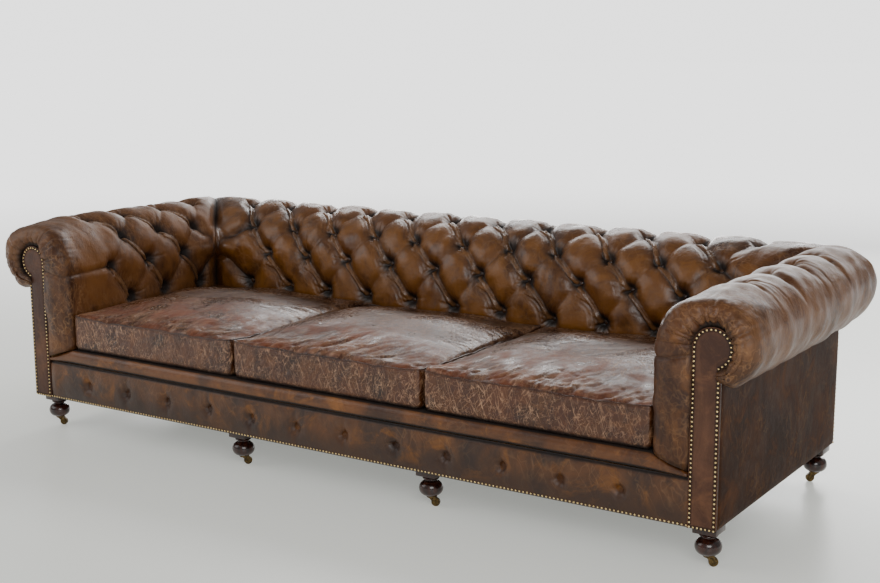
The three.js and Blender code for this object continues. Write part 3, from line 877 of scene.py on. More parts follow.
def armTuft(side, rows, edgeStart):
    draw = random.Random(armLook["seed"] + side)
    pitch = armLook["pitch"]
    whole = [armLook["firstWhole"] + pitch * k for k in range(3)]
    half = [armLook["firstHalf"] + pitch * k for k in range(3)]
    topHalf = [armLook["firstHalf"] + pitch * k for k in range(4)]
    table = buttonTable(draw, rows, whole, half, topHalf)
    tuft = {"folds": [], "pleats": [], "cuts": []}
    foldsBetween(tuft, table, pitch, draw, side)
    footFolds(tuft, table[0], pitch, rows[0] - padLook["footDrop"])
    folds = tuft["folds"]
    crest = rows[3] + 0.085
    for u, v in table[3]:            # pleats over the roll lean to the front
        weak = 0.5 if u < armLook["firstHalf"] + 0.05 else 0.9
        onCrest = (u - 0.028, crest)
        folds.append(crease((u, v), onCrest, 0.050, (weak, weak * 0.4), bow=0.006, lean=0.35))
        tuft["cuts"].append(crease((u, v), (u - 0.035, crest + 0.02), 0.006, (weak, 0.2), bow=0.006,
                                   power=1.0))
        folds.append(crease(onCrest, (u - 0.040, crest + 0.10), 0.030, (weak * 0.4, 0.0), lean=0.35))
        for _ in range(5):
            offset = draw.uniform(-0.05, 0.05)
            finish = (u + offset * 1.4 - 0.02, crest + draw.uniform(-0.02, 0.14))
            folds.append(crease((u + offset * 0.3, rows[3] + 0.01), finish, 0.011,
                                (draw.uniform(0.12, 0.32), 0.0), power=1.6))
    cornerY = backInnerY - padLook["cornerInset"]
    for row in (0, 2):
        folds.append(crease(table[row][-1], (cornerY, rows[1]), 0.05, (1.0, 0.7)))
    tuft["buttons"] = [spot for row in table for spot in row]

    firstButton = table[1][0]        # a crease runs over the border to the second row's foremost button
    knee = (edgeStart - 0.05, rows[1] - 0.012)
    rim = (edgeStart - 0.13, rows[1] + 0.004)
    folds.append(crease(knee, firstButton, 0.024, (0.10, 0.5), power=1.6))
    folds.append(crease(rim, knee, 0.016, (0.16, 0.10), power=1.6))
    tuft["cuts"].append(crease(knee, firstButton, 0.006, (0.9, 0.9), power=1.0))
    tuft["cuts"].append(crease(rim, knee, 0.006, (1.0, 0.9), power=1.0))
    wall = rows[1]
    top = armReach[-1]
    for order in range(armLook["scrollPleats"]):     # small pleats round the scroll
        share = (order + 0.8 + draw.uniform(-0.3, 0.3)) / armLook["scrollPleats"]
        place = wall + (top - wall) * share
        begin = (edgeStart - 0.13, place)
        finish = (edgeStart + draw.uniform(-0.06, 0.03), place + draw.uniform(-0.012, 0.012))
        folds.append(crease(begin, finish, draw.uniform(0.012, 0.022),
                            (draw.uniform(0.15, 0.42), 0.0), lean=0.3, power=1.6))
        tuft["cuts"].append(crease(begin, finish, 0.005, (draw.uniform(0.3, 0.9), 0.0), power=1.0))
    for _ in range(armLook["creases"]):              # and fine creases between them
        place = draw.uniform(wall, top)
        begin = draw.uniform(-0.11, 0.02)
        finish = (edgeStart + begin + draw.uniform(0.03, 0.12), place + draw.uniform(-0.03, 0.03))
        folds.append(crease((edgeStart + begin, place), finish, 0.009,
                            (draw.uniform(0.05, 0.14), 0.0), power=1.4))
    return tuft


def makeArmPad(side):
    label = "right" if side > 0 else "left"
    rows = rowPlaces(armSection, armReach, armInnerX, armRollX)
    front = frontRows()
    edgeStart = padFront + armLook["edgeRound"]
    tuft = armTuft(side, rows, edgeStart)
    ends = backSection[:, 0]
    count = int((backRollY - edgeStart) / padLook["lengthStep"])
    t = np.linspace(0, 1, count + 1)[:, None]
    y = edgeStart + t * (ends[None, :] - edgeStart)
    sweep = np.stack([np.broadcast_to(armSection[None, :, 0], y.shape), y,
                      np.broadcast_to(armSection[None, :, 1], y.shape)], -1)
    grid = np.concatenate([front, sweep], 0)
    # the border's lower edge runs down to the facing, over the mitred end of the lip
    fade = np.clip(1 - armReach / armLook["mitreReach"], 0, None)
    ratio = np.clip((front[..., 0] - armInnerX) / (facingInnerX - armInnerX), 0, 1)
    grid[:len(front), :, 2] -= lipEndDrop * ratio * fade

    frontSteps = np.linalg.norm(np.diff(grid[:len(front) + 1], axis=0), axis=2)
    before = np.cumsum(frontSteps[::-1], axis=0)[::-1]
    lengthwise = np.concatenate([edgeStart - before, y], 0)
    along = np.broadcast_to(armReach[None, :], lengthwise.shape)

    normal = gridNormals(grid)
    middle = len(front) + count // 2
    if normal[middle, 20, 0] > 0:
        normal = -normal
    move, hidden, pleats, full = tuftHeights(lengthwise, along, tuft, armLook["seed"] + side)
    inside = 1 - smoothStep(*padLook["seatBand"], grid[..., 2])
    move -= padLook["seatTuck"] * inside * (grid[..., 0] < armRollX)
    taper = 1 - smoothStep(edgeStart - 0.05, edgeStart + 0.16, lengthwise)
    nearCrest = smoothStep(rows[2], rows[3], along)
    nearCrest = nearCrest * (1 - smoothStep(rows[3] + 0.06, rows[3] + 0.16, along))
    move = move - 0.017 * taper * nearCrest
    tucked = tuckedIn(along, armReach)
    atFacing = 1 - smoothStep(0, 4, np.arange(len(grid)))[:, None]
    move = move * (1 - tucked) * (1 - atFacing)
    gap = np.where(np.arange(len(grid))[:, None] < len(front), 1.0, ends[None, :] - lengthwise)
    gap = np.maximum(gap, 0)
    sideNormal = np.stack([np.zeros_like(gap), normal[..., 0], normal[..., 2]], -1)
    outer = meetAtMitre(grid, normal, move, gap, sideNormal, along, rows[3])
    hidden = shadeMitre(hidden, gap, along)
    hidden = np.maximum(hidden, 0.4 * inside * (1 - smoothStep(*padLook["seatShade"], grid[..., 2]))
                        * smoothStep(edgeStart + 0.15, edgeStart + 0.25, lengthwise))
    # painted shade at the border's edge, next to the facing
    atEdge = 1 - smoothStep(0, 9, np.arange(len(grid)))[:, None]
    hidden = np.maximum(hidden, atEdge * 0.95)
    outer = roundCorner(outer)
    # the arms have settled, the left roll outwards and the right one inwards
    outwards = smoothStep(armRollX - 0.04, armRollX + rollRadius, outer[..., 0]) * (1 - tucked)
    if side < 0:
        outwards = armLook["leftFlare"] * outwards * (1 - smoothStep(edgeStart, 0.1, lengthwise))
    else:
        outwards = armLook["rightTuck"] * outwards * smoothStep(0.05, 0.45, lengthwise)
    outer[..., 0] += outwards

    coreEnds = backHidden[:, 0] - padLook["boardGap"]
    coreStart = timberFront - padLook["boardGap"]
    coreFront = np.linspace(coreStart, edgeStart, len(front), endpoint=False)[:, None]
    coreY = np.concatenate([np.broadcast_to(coreFront, (len(front), len(coreEnds))),
                            edgeStart + t * (coreEnds[None, :] - edgeStart)], 0)
    core = np.stack([np.broadcast_to(armHidden[None, :, 0], coreY.shape), coreY,
                     np.broadcast_to(armHidden[None, :, 1], coreY.shape)], -1)
    for k, (across, height) in enumerate(armHidden):     # the front wraps over the timber's end
        core[0, k, 0], core[0, k, 2] = facingPoint(across, height)
    loops = np.concatenate([outer, core], 1)
    spots = buttonSpots(outer, lengthwise, along, tuft["buttons"], normal)
    if side < 0:
        loops[..., 0] *= -1
        spots = [(p * (-1, 1, 1), n * (-1, 1, 1)) for p, n in spots]
    points, faces = tubeOfRows(loops)
    crestWear = smoothStep(rows[3] - 0.12, rows[3] + 0.02, along) * (1 - hidden * 0.7)
    crestWear = crestWear * (1 - 0.75 * smoothStep(rows[3] + 0.2, rows[3] + 0.34, along)) * 0.8
    full = full * (1 - 0.8 * smoothStep(rows[2] - 0.02, rows[3], along))
    full = full * smoothStep(0, 0.1, lengthwise - edgeStart)
    fields = padFields(core, hidden, full, pleats, crestWear)
    pad = makePiece(f"armPad_{label}", points, faces, armLeather, fields)
    settle(pad, [f"arm_pad_{label}"])
    return spots


buttonPoints = makeBackPad()
print("back pad made")
buttonPoints += makeArmPad(1)
buttonPoints += makeArmPad(-1)
print("arm pads made")


# lip under the cushions
lipLook = {"columns": 330, "seed": 5}


def makeSeatLip():
    low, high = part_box("seat_lip")
    draw = random.Random(lipLook["seed"])
    front, rear, bottom, top = low.y, high.y, low.z + 0.001, high.z - 0.0006
    height = top - bottom
    middle = (top + bottom) / 2
    profile = [(rear, bottom), (front + 0.024, bottom)]
    for angle in np.linspace(-82, 82, 22):
        a = math.radians(angle)
        profile.append((front + 0.020 - 0.022 * math.cos(a) ** 0.8, middle + height / 2 * math.sin(a)))
    profile += [(front + 0.030, top), (rear, top)]
    profile = np.array(profile)
    waves = [(draw.uniform(0.05, 0.4), draw.uniform(0, math.tau)) for _ in range(7)]
    share = (profile[:, 1] - bottom) / height
    shade = np.maximum(1 - smoothStep(0.08, 0.34, share), smoothStep(0.93, 1.0, share))
    shade[[0, -1]] = 1
    rows = []
    for x in np.linspace(low.x, high.x, lipLook["columns"]):
        wave = sum(math.sin(x / size + phase) for size, phase in waves) * 0.0009
        ratio = max(0, (abs(x) - armInnerX) / (high.x - armInnerX))
        squeeze = 1 - ratio * lipEndDrop / height
        y = profile[:, 0] + np.where(profile[:, 0] < front + 0.02, wave - 0.002, 0)
        z = bottom + (profile[:, 1] - bottom) * squeeze
        rows.append(np.stack([np.full(len(y), x), y, z], -1))
    points, faces = tubeOfRows(np.array(rows))
    lip = makePiece("seatLip", points, faces, lipLeather, {"hollow": np.tile(shade, len(rows))})
    settle(lip, ["seat_lip"])


# front rail, padded and buttoned
railLook = {"buttons": 12, "pitch": 0.193, "height": 0.192, "columns": 560, "rows": 34,
            "fullness": 0.007, "seed": 31, "upperEdge": 0.93, "pitDepth": 0.0105, "pitSize": 0.020,
            "foldDepth": 0.0055, "rays": 10, "rayDepth": 0.0034}


def makeRailCover():
    low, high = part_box("front_rail_cover")
    draw = random.Random(railLook["seed"])
    xs = np.linspace(low.x, high.x, railLook["columns"])
    zs = np.linspace(low.z, high.z, railLook["rows"])
    x, z = np.meshgrid(xs, zs)
    share = (z - low.z) / (high.z - low.z)
    toEnd = np.minimum(x - low.x, high.x - x)
    crown = np.sin(np.pi * np.clip(share, 0, 1)) ** 0.6 * np.clip(toEnd / 0.03, 0, 1) ** 0.5
    depth = railLook["fullness"] * crown
    toLip = smoothStep(railLook["upperEdge"], 1.0, share)
    depth += 0.004 * toLip
    places = [(k - (railLook["buttons"] - 1) / 2) * railLook["pitch"] + draw.uniform(-0.004, 0.004)
              for k in range(railLook["buttons"])]
    buttons = [(p, railLook["height"] + draw.uniform(-0.003, 0.003)) for p in places]
    # painted shade under the lip's overhang, and in the button pits, folds and rays
    hidden = smoothStep(0.90, 0.985, share)
    for u, v in buttons:
        distance = np.hypot(x - u, z - v)
        pit = np.exp(-(distance / railLook["pitSize"]) ** 2)
        depth -= railLook["pitDepth"] * pit
        hidden = np.maximum(hidden, pit * 0.6)
        for way, length in ((1, draw.uniform(0.05, 0.066)), (-1, draw.uniform(0.04, 0.055))):
            fold = creaseAmount(x, z, (u, v), (u + draw.uniform(-0.008, 0.008), v + way * length),
                                0.022, (0.9, 0.15), draw.uniform(-0.004, 0.004), 0.2, 1.8)
            depth -= railLook["foldDepth"] * fold
            hidden = np.maximum(hidden, fold * 0.45)
        for _ in range(railLook["rays"]):
            angle = draw.uniform(0, math.tau)
            length = draw.uniform(0.02, 0.05)
            ray = creaseAmount(x, z, fromButton(u, v, angle, 0.008), fromButton(u, v, angle, length),
                               0.009, (0.8, 0.0), power=1.4)
            depth -= railLook["rayDepth"] * ray
            hidden = np.maximum(hidden, ray * 0.25)
    depth += ripple(x, z, railLook["seed"], 0.12, 0.0010) * crown
    front = np.stack([x, low.y + 0.0035 + 0.012 * toLip - depth, z], -1)
    back = np.stack([x, np.full_like(x, high.y), z], -1)[[0, -1]]
    loops = np.concatenate([front, back[::-1]], 0).transpose(1, 0, 2)
    points, faces = tubeOfRows(loops)
    blank = np.zeros((loops.shape[0], 2))
    hiddenAll = np.concatenate([hidden.T, blank], 1)
    cover = makePiece("frontRailCover", points, faces, railLeather, {"hollow": hiddenAll})
    settle(cover, ["front_rail_cover"])
    spots = []
    for u, v in buttons:
        j = np.argmin(np.abs(xs - u))
        i = np.argmin(np.abs(zs - v))
        spots.append((front[i, j] + np.array([0, -0.0015, 0]), np.array([0, -1.0, 0])))
    return spots


makeSeatLip()
buttonPoints += makeRailCover()
print("lip and front rail made")


# facings on the arm fronts
facingLook = {"crown": 0.0045, "rings": (0.0, 0.0012, 0.0035, 0.0085, 0.014, 0.021),
              "nailInset": 0.0048, "nailPitch": 0.0127, "nailRadius": 0.0032, "weltRadius": 0.0017}
nailPoints = []


def facingOutline(inset=0.0, stem=90, head=56, foot=20):
    # closed line: up the inner edge, round the head, down the outer edge, and along the foot
    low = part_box("arm_facing_right")[0]
    inner, outer = low.x + inset, panelOuterX - inset
    radius = facingHead["radius"] - inset
    bottom = low.z + inset
    drop = math.sqrt(radius ** 2 - (outer - facingHead["x"]) ** 2)
    end = -math.atan2(drop, outer - facingHead["x"])
    line = [(inner, z) for z in np.linspace(bottom, facingHead["z"], stem, endpoint=False)]
    for angle in np.linspace(math.pi, end, head, endpoint=False):
        line.append((facingHead["x"] + radius * math.cos(angle),
                     facingHead["z"] + radius * math.sin(angle)))
    line += [(outer, z) for z in np.linspace(facingHead["z"] - drop, bottom, stem, endpoint=False)]
    line += [(x, bottom) for x in np.linspace(outer, inner, foot, endpoint=False)]
    return np.array(line)


def evenlyAlong(line, pitch):
    reach = arcLength(line)
    count = max(2, int(round(reach[-1] / pitch)) + 1)
    places = np.linspace(0, reach[-1], count)
    return np.stack([np.interp(places, reach, line[:, 0]), np.interp(places, reach, line[:, 1])], -1)


def makeFacing(side):
    label = "right" if side > 0 else "left"
    low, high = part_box("arm_facing_right")
    base = facingOutline()
    layers = []
    for inset in facingLook["rings"]:
        rise = facingLook["crown"] * min(1, inset / 0.016) ** 0.5
        ring = facingOutline(inset)
        layers.append(np.stack([ring[:, 0], np.full(len(ring), low.y + 0.0015 - rise), ring[:, 1]], -1))
    rearRing = np.stack([base[:, 0], np.full(len(base), high.y - 0.0002), base[:, 1]], -1)
    loops = np.array([rearRing] + layers)
    if side < 0:
        loops[..., 0] *= -1
    points, faces = tubeOfRows(loops)
    ringShade = np.array([0.2, 0.9, 0.8, 0.7, 0.6, 0.15, 0.0])
    fields = {"hollow": np.repeat(ringShade, loops.shape[1])}
    facing = makePiece(f"armFacing_{label}", points, faces, facingLeather, fields)
    settle(facing, [f"arm_facing_{label}"])
    face = low.y - facingLook["crown"] * 0.55
    footPoints = 40
    nailLine = facingOutline(facingLook["nailInset"], 200, 160, footPoints)
    foot = np.concatenate([nailLine[-footPoints:], nailLine[:1]])
    nails = evenlyAlong(nailLine[:1 - footPoints], facingLook["nailPitch"])
    for x, z in np.concatenate([nails, evenlyAlong(foot, facingLook["nailPitch"])[1:-1]]):
        nailPoints.append(((side * x, face, z), (0, -1, 0)))
    weltLine = facingOutline(-0.0004)[:-20]          # without the foot, where there is no welt
    weltPath = np.stack([weltLine[:, 0] * side, np.full(len(weltLine), low.y - 0.0003),
                         weltLine[:, 1]], -1)
    welt = makeCord(f"facingWelt_{label}", weltPath, facingLook["weltRadius"], facingLeather)
    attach(welt, "sofa")


def makeCord(name, path, radius, material, closed=False, sides=8):
    # a thin round welt along a line of points
    path = np.asarray(path, float)
    if closed:
        ahead = np.roll(path, -1, 0) - np.roll(path, 1, 0)
    else:
        ahead = np.gradient(path, axis=0)
    ahead /= np.maximum(np.linalg.norm(ahead, axis=1, keepdims=True), 1e-9)
    up = np.array([0.05, 1.0, 0.03]) if abs(ahead[:, 1]).max() < 0.9 else np.array([0.03, 0.05, 1.0])
    first = np.cross(ahead, up)
    first /= np.maximum(np.linalg.norm(first, axis=1, keepdims=True), 1e-9)
    second = np.cross(ahead, first)
    angles = np.linspace(0, math.tau, sides, endpoint=False)
    rings = (path[:, None, :] + radius * (np.cos(angles)[None, :, None] * first[:, None, :]
                                          + np.sin(angles)[None, :, None] * second[:, None, :]))
    points, faces = closedTube(rings) if closed else tubeOfRows(rings)
    return makePiece(name, points, faces, material)


makeFacing(1)
makeFacing(-1)


# covers on the outside of the arms and the back
panelLook = {"step": 0.012, "fullness": 0.0026, "edgeRound": 0.004, "wrap": 0.003}


def makePanel(name, node, axis, outward, seed):
    # axis: 0 for an arm's outside, 1 for the back; the outer face is slightly slack
    low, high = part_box(node)
    other = 1 - axis
    # the arms' covers wrap the rear corner, the back's cover meets them on both sides
    first = low[other] - (panelLook["wrap"] if axis else 0)
    last = high[other] + panelLook["wrap"]
    u = np.linspace(first, last, int((last - first) / panelLook["step"]) + 1)
    v = np.linspace(low.z, high.z, int((high.z - low.z) / panelLook["step"]) + 1)
    gridU, gridV = np.meshgrid(u, v, indexing="ij")
    toEdge = np.minimum(np.minimum(gridU - u[0], u[-1] - gridU), np.minimum(gridV - v[0], v[-1] - gridV))
    soft = np.clip(toEdge / 0.03, 0, 1) ** 0.5
    wave = ripple(gridU, gridV * 0.45, seed, 0.26, 0.0012) + panelLook["fullness"] * 0.5
    outer = high[axis] if outward > 0 else low[axis]
    inner = low[axis] if outward > 0 else high[axis]
    turned = panelLook["edgeRound"] * (1 - np.clip(toEdge / 0.006, 0, 1)) ** 2
    level = outer + outward * (wave * soft - turned)
    sheets = []
    for depth in (level, np.full_like(gridU, inner)):
        sheet = np.stack([gridU, gridU, gridV], -1)
        sheet[..., axis] = depth
        sheets.append(sheet)
    loops = np.concatenate([sheets[0], sheets[1][:, [-1, 0]]], 1)
    points, faces = tubeOfRows(loops)
    panel = makePiece(name, points, faces, panelLeather)
    panel.data.set_sharp_from_angle(angle=math.radians(50))
    settle(panel, [node])


makePanel("armOuterPanel_right", "arm_outer_panel_right", 0, 1, 41)
makePanel("armOuterPanel_left", "arm_outer_panel_left", 0, -1, 42)
makePanel("backOuterPanel", "back_outer_panel", 1, 1, 43)
print("facings and outer panels made")


# rows of nails along the front rail's foot and the rear edges of the arms
def nailRows():
    low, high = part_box("front_rail_cover")
    inset, pitch = facingLook["nailInset"], facingLook["nailPitch"]
    for x in np.linspace(low.x + 0.004, high.x - 0.004, int((high.x - low.x) / pitch)):
        nailPoints.append(((x, low.y + 0.0005, low.z + inset + 0.001), (0, -1, -0.25)))
    low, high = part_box("arm_outer_panel_right")
    for side in (-1, 1):
        for z in np.linspace(low.z + inset, high.z - inset, int((high.z - low.z) / pitch)):
            nailPoints.append(((side * (high.x - 0.0006), high.y - inset, z), (side, 0, 0)))


nailRows()


# domes set on points, for the nails and the buttons
def domeTree(name):
    tree = bpy.data.node_groups.new(name, "GeometryNodeTree")
    face = tree.interface
    face.new_socket("Geometry", in_out="INPUT", socket_type="NodeSocketGeometry")
    for label, value in (("Radius", 0.004), ("Rise", 0.6)):
        made = face.new_socket(label, in_out="INPUT", socket_type="NodeSocketFloat")
        made.default_value = value
    for label, value in (("Segments", 10), ("Rings", 5), ("Seed", 1)):
        made = face.new_socket(label, in_out="INPUT", socket_type="NodeSocketInt")
        made.default_value = value
    face.new_socket("Finish", in_out="INPUT", socket_type="NodeSocketMaterial")
    face.new_socket("Geometry", in_out="OUTPUT", socket_type="NodeSocketGeometry")

    def put(kind, values=None, settings=None):
        node = tree.nodes.new(kind)
        for key, value in (settings or {}).items():
            setattr(node, key, value)
        for key, value in (values or {}).items():
            if isinstance(value, bpy.types.NodeSocket):
                tree.links.new(value, node.inputs[key])
            else:
                node.inputs[key].default_value = value
        return node

    given = put("NodeGroupInput").outputs
    dome = put("GeometryNodeMeshUVSphere", {"Segments": given["Segments"], "Rings": given["Rings"],
                                            "Radius": given["Radius"]})
    height = put("ShaderNodeCombineXYZ", {"X": 1.0, "Y": 1.0, "Z": given["Rise"]})
    flat = put("GeometryNodeTransform", {"Geometry": dome.outputs["Mesh"], "Scale": height.outputs[0]})
    outward = put("GeometryNodeInputNamedAttribute", {"Name": "outward"}, {"data_type": "FLOAT_VECTOR"})
    turn = put("FunctionNodeAlignRotationToVector", {"Vector": outward.outputs["Attribute"]}, {"axis": "Z"})
    size = put("FunctionNodeRandomValue", {2: 0.94, 3: 1.06, "Seed": given["Seed"]},
               {"data_type": "FLOAT"})
    spread = put("GeometryNodeInstanceOnPoints", {
        "Points": given["Geometry"], "Instance": flat.outputs["Geometry"],
        "Rotation": turn.outputs["Rotation"], "Scale": size.outputs[1]})
    solid = put("GeometryNodeRealizeInstances", {"Geometry": spread.outputs["Instances"]})
    coloured = put("GeometryNodeSetMaterial", {"Geometry": solid.outputs["Geometry"],
                                               "Material": given["Finish"]})
    smooth = put("GeometryNodeSetShadeSmooth", {"Geometry": coloured.outputs["Geometry"]})
    put("NodeGroupOutput", {"Geometry": smooth.outputs["Geometry"]})
    return tree


domes = domeTree("domesOnPoints")


def scatterDomes(name, spots, look, material):
    holder = bpy.data.meshes.new(name + "Points")
    holder.from_pydata([tuple(map(float, p)) for p, n in spots], [], [])
    layer = holder.attributes.new("outward", "FLOAT_VECTOR", "POINT")
    layer.data.foreach_set("vector", np.array([n for p, n in spots], np.float32).ravel())
    carrier = addObject(name + "Carrier", holder)
    modifier = carrier.modifiers.new("domes", "NODES")
    modifier.node_group = domes
    sockets = {item.name: item.identifier for item in domes.interface.items_tree
               if item.in_out == "INPUT"}
    for key, value in {**look, "Finish": material}.items():
        modifier[sockets[key]] = value
    evaluated = carrier.evaluated_get(bpy.context.evaluated_depsgraph_get())
    mesh = bpy.data.meshes.new_from_object(evaluated)
    mesh.name = name
    bpy.data.objects.remove(carrier)
    if not mesh.materials:
        mesh.materials.append(material)
    piece = addObject(name, mesh)
    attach(piece, "sofa")


nailLook = {"Radius": facingLook["nailRadius"], "Rise": 0.62, "Segments": 10, "Rings": 6, "Seed": 3}
scatterDomes("upholsteryNails", nailPoints, nailLook, nailBrass)
buttonLook = {"Radius": 0.0088, "Rise": 0.5, "Segments": 20, "Rings": 10, "Seed": 8}
scatterDomes("tuftingButtons", buttonPoints, buttonLook, shadedButtonLeather)
print("nails and buttons set")


# seat cushions
cushionLook = {"cell": 0.0115, "steps": 20, "riseCap": 0.009, "sideCap": 0.004,
               "setBack": 0.013, "gap": 0.0008, "round": 0.016, "seamHeight": 0.437, "crown": 0.045,
               "frontSlope": 0.60, "weltRadius": 0.0024, "footInset": 0.974,
               "dipSize": 0.34, "dipDepth": 0.0042, "folds": 90, "foldDepth": 0.0050,
               "creases": 46, "creaseDepth": 0.0024, "frontRidges": 80, "sideRidges": 26,
               "ridgeWidth": (0.006, 0.009), "ridgeHeight": 0.0026,
               "boxingFolds": 60, "boxingDepth": 0.0016, "seamDepth": 0.0016}
clothLook = {"quality": 6, "mass": 0.4, "tension_stiffness": 18, "compression_stiffness": 18,
             "shear_stiffness": 8, "bending_stiffness": 1.2, "shrink_min": -0.02,
             "use_pressure": True, "uniform_pressure_force": 4.0, "vertex_group_mass": "foot"}


def boxGrid(name, low, high, cell):
    # a closed box of even cells, so that the cover's seams lie along rows of its points
    count = [max(2, int(round((high[k] - low[k]) / cell))) for k in range(3)]
    work = bmesh.new()
    for axis in range(3):
        first, second = (axis + 1) % 3, (axis + 2) % 3
        for level in (low[axis], high[axis]):
            grid = []
            for i in range(count[first] + 1):
                row = []
                for j in range(count[second] + 1):
                    place = [0, 0, 0]
                    place[axis] = level
                    place[first] = low[first] + (high[first] - low[first]) * i / count[first]
                    place[second] = low[second] + (high[second] - low[second]) * j / count[second]
                    row.append(work.verts.new(place))
                grid.append(row)
            for i in range(count[first]):
                for j in range(count[second]):
                    work.faces.new((grid[i][j], grid[i + 1][j], grid[i + 1][j + 1], grid[i][j + 1]))
    bmesh.ops.remove_doubles(work, verts=work.verts, dist=1e-5)
    bmesh.ops.recalc_face_normals(work, faces=work.faces)
    mesh = bpy.data.meshes.new(name)
    work.to_mesh(mesh)
    work.free()
    return addObject(name, mesh)


def startingCushion(name, low, high):
    look = cushionLook
    inner = (low.x + look["gap"], low.y + look["setBack"], low.z + 0.0008)
    outer = (high.x - look["gap"], high.y - look["gap"], look["seamHeight"])
    piece = boxGrid(name, inner, outer, look["cell"])
    points = readPoints(piece.data)
    half = np.array([(outer[0] - inner[0]) / 2, (outer[1] - inner[1]) / 2])
    middle = np.array([(outer[0] + inner[0]) / 2, (outer[1] + inner[1]) / 2])
    away = points[:, :2] - middle
    u, v = (away / half).T
    atSide = np.maximum(np.abs(u), np.abs(v)) > 0.9999
    onTop = points[:, 2] > outer[2] - 1e-5
    onFoot = points[:, 2] < inner[2] + 1e-5
    past = np.maximum(np.abs(away) - (half - look["round"]), 0)      # rounds the upright corners
    longest, length = past.max(1), np.maximum(np.hypot(*past.T), 1e-9)
    corner = (past.min(1) > 0)
    scale = np.where(corner, longest / length, 1.0)
    away = np.where(corner[:, None], np.sign(away) * (half - look["round"] + past * scale[:, None]), away)
    away *= np.where(onFoot & atSide, look["footInset"], 1.0)[:, None]
    points[:, :2] = middle + away
    slope = np.sin(np.pi / 2 * np.clip((v + 1) / (2 * look["frontSlope"]), 0, 1)) ** 0.68
    rear = 1 - 0.85 * smoothStep(0.2, 1.0, v)
    points[:, 2] += onTop * look["crown"] * (1 - np.abs(u) ** 2.8) * slope * rear
    piece.data.vertices.foreach_set("co", points.ravel())
    addField(piece.data, "seam", onTop & atSide)
    pinned = piece.vertex_groups.new(name="foot")
    pinned.add(np.flatnonzero(onFoot).tolist(), 1.0, "REPLACE")
    return piece, middle, half[0], half[1]


def puff(piece):
    # blows the cover up with cloth pressure, then keeps only as much of the move as a cushion has
    look = cushionLook
    before = readPoints(piece.data)
    scene = bpy.context.scene
    cloth = piece.modifiers.new("cloth", "CLOTH")
    for key, value in clothLook.items():
        setattr(cloth.settings, key, value)
    cloth.settings.effector_weights.gravity = 0
    cloth.point_cache.frame_start = 1
    cloth.point_cache.frame_end = look["steps"]
    for step in range(1, look["steps"] + 1):
        scene.frame_set(step)
    swollen = bpy.data.meshes.new_from_object(piece.evaluated_get(bpy.context.evaluated_depsgraph_get()))
    move = readPoints(swollen) - before
    piece.modifiers.clear()
    bpy.data.meshes.remove(swollen)
    scene.frame_set(1)
    print("cushion puffed by", move.min(0).round(4), move.max(0).round(4))
    move[:, :2] = np.clip(move[:, :2], -look["sideCap"], look["sideCap"])
    move[:, 2] = look["riseCap"] * np.tanh(move[:, 2] / look["riseCap"])
    return before + move


def readPoints(mesh):
    points = np.zeros(len(mesh.vertices) * 3, np.float64)
    mesh.vertices.foreach_get("co", points)
    return points.reshape(-1, 3)


def topFolds(draw, u, v, halfX, halfY):
    # slack of the cover: puckers that run in from the front seam, and creases all over
    look = cushionLook
    sunk = np.zeros(len(u))
    for _ in range(look["folds"]):
        startU = draw.uniform(-halfX - 0.05, halfX)
        slant = draw.uniform(0.0, 0.17)
        length = draw.uniform(0.06, 0.24)
        startV = -halfY + draw.uniform(0.0, 0.06)
        finish = (startU + slant, startV + length)
        sunk += look["foldDepth"] * creaseAmount(
            u, v, (startU, startV), finish, draw.uniform(0.010, 0.022), (draw.uniform(0.3, 1.0), 0.0),
            draw.uniform(-0.02, 0.02), draw.uniform(-0.5, 0.5), 1.5)
    for _ in range(look["creases"]):
        startU = draw.uniform(-halfX, halfX)
        startV = draw.uniform(-halfY, halfY)
        angle = draw.gauss(0.2, 0.5)
        length = draw.uniform(0.08, 0.25)
        finish = (startU + length * math.cos(angle), startV + length * math.sin(angle))
        sunk += look["creaseDepth"] * creaseAmount(
            u, v, (startU, startV), finish, draw.uniform(0.010, 0.026), (draw.uniform(0.2, 0.9), 0.0),
            draw.uniform(-0.03, 0.03), draw.uniform(-0.5, 0.5), 1.5)
    return sunk


def topRidges(draw, u, v, halfX, halfY):
    # standing wrinkles in the front band, rubbed pale, and some along the right side
    ridges = np.zeros(len(u))
    for order in range(cushionLook["frontRidges"] + cushionLook["sideRidges"]):
        if order < cushionLook["frontRidges"]:
            begin = (draw.uniform(-halfX - 0.04, halfX), -halfY + draw.uniform(0.004, 0.07))
            finish = (begin[0] + draw.uniform(0.01, 0.11), begin[1] + draw.uniform(0.03, 0.15))
            strength = (0.35, 1.0)
        else:
            begin = (halfX - 0.006, draw.uniform(-halfY * 0.6, halfY * 0.8))
            finish = (halfX - draw.uniform(0.06, 0.14), begin[1] + draw.uniform(-0.06, 0.10))
            strength = (0.3, 0.8)
        ridge = creaseAmount(u, v, begin, finish, draw.uniform(*cushionLook["ridgeWidth"]),
                             (draw.uniform(*strength), 0.0), draw.uniform(-0.01, 0.01), power=0)
        ridges = np.maximum(ridges, ridge)
    return ridges


def boxingFolds(draw, around, z, halfX):
    sunk = np.zeros(len(z))
    for _ in range(cushionLook["boxingFolds"]):
        startA = draw.uniform(-halfX, halfX)
        startZ = draw.uniform(0.33, 0.43)
        finish = (startA + draw.uniform(-0.05, 0.05), startZ + draw.uniform(-0.07, 0.07))
        sunk += cushionLook["boxingDepth"] * creaseAmount(
            around, z, (startA, startZ), finish, draw.uniform(0.008, 0.014),
            (draw.uniform(0.3, 1.0), 0.2), draw.uniform(-0.012, 0.012), 0.0, 1.4)
    return sunk


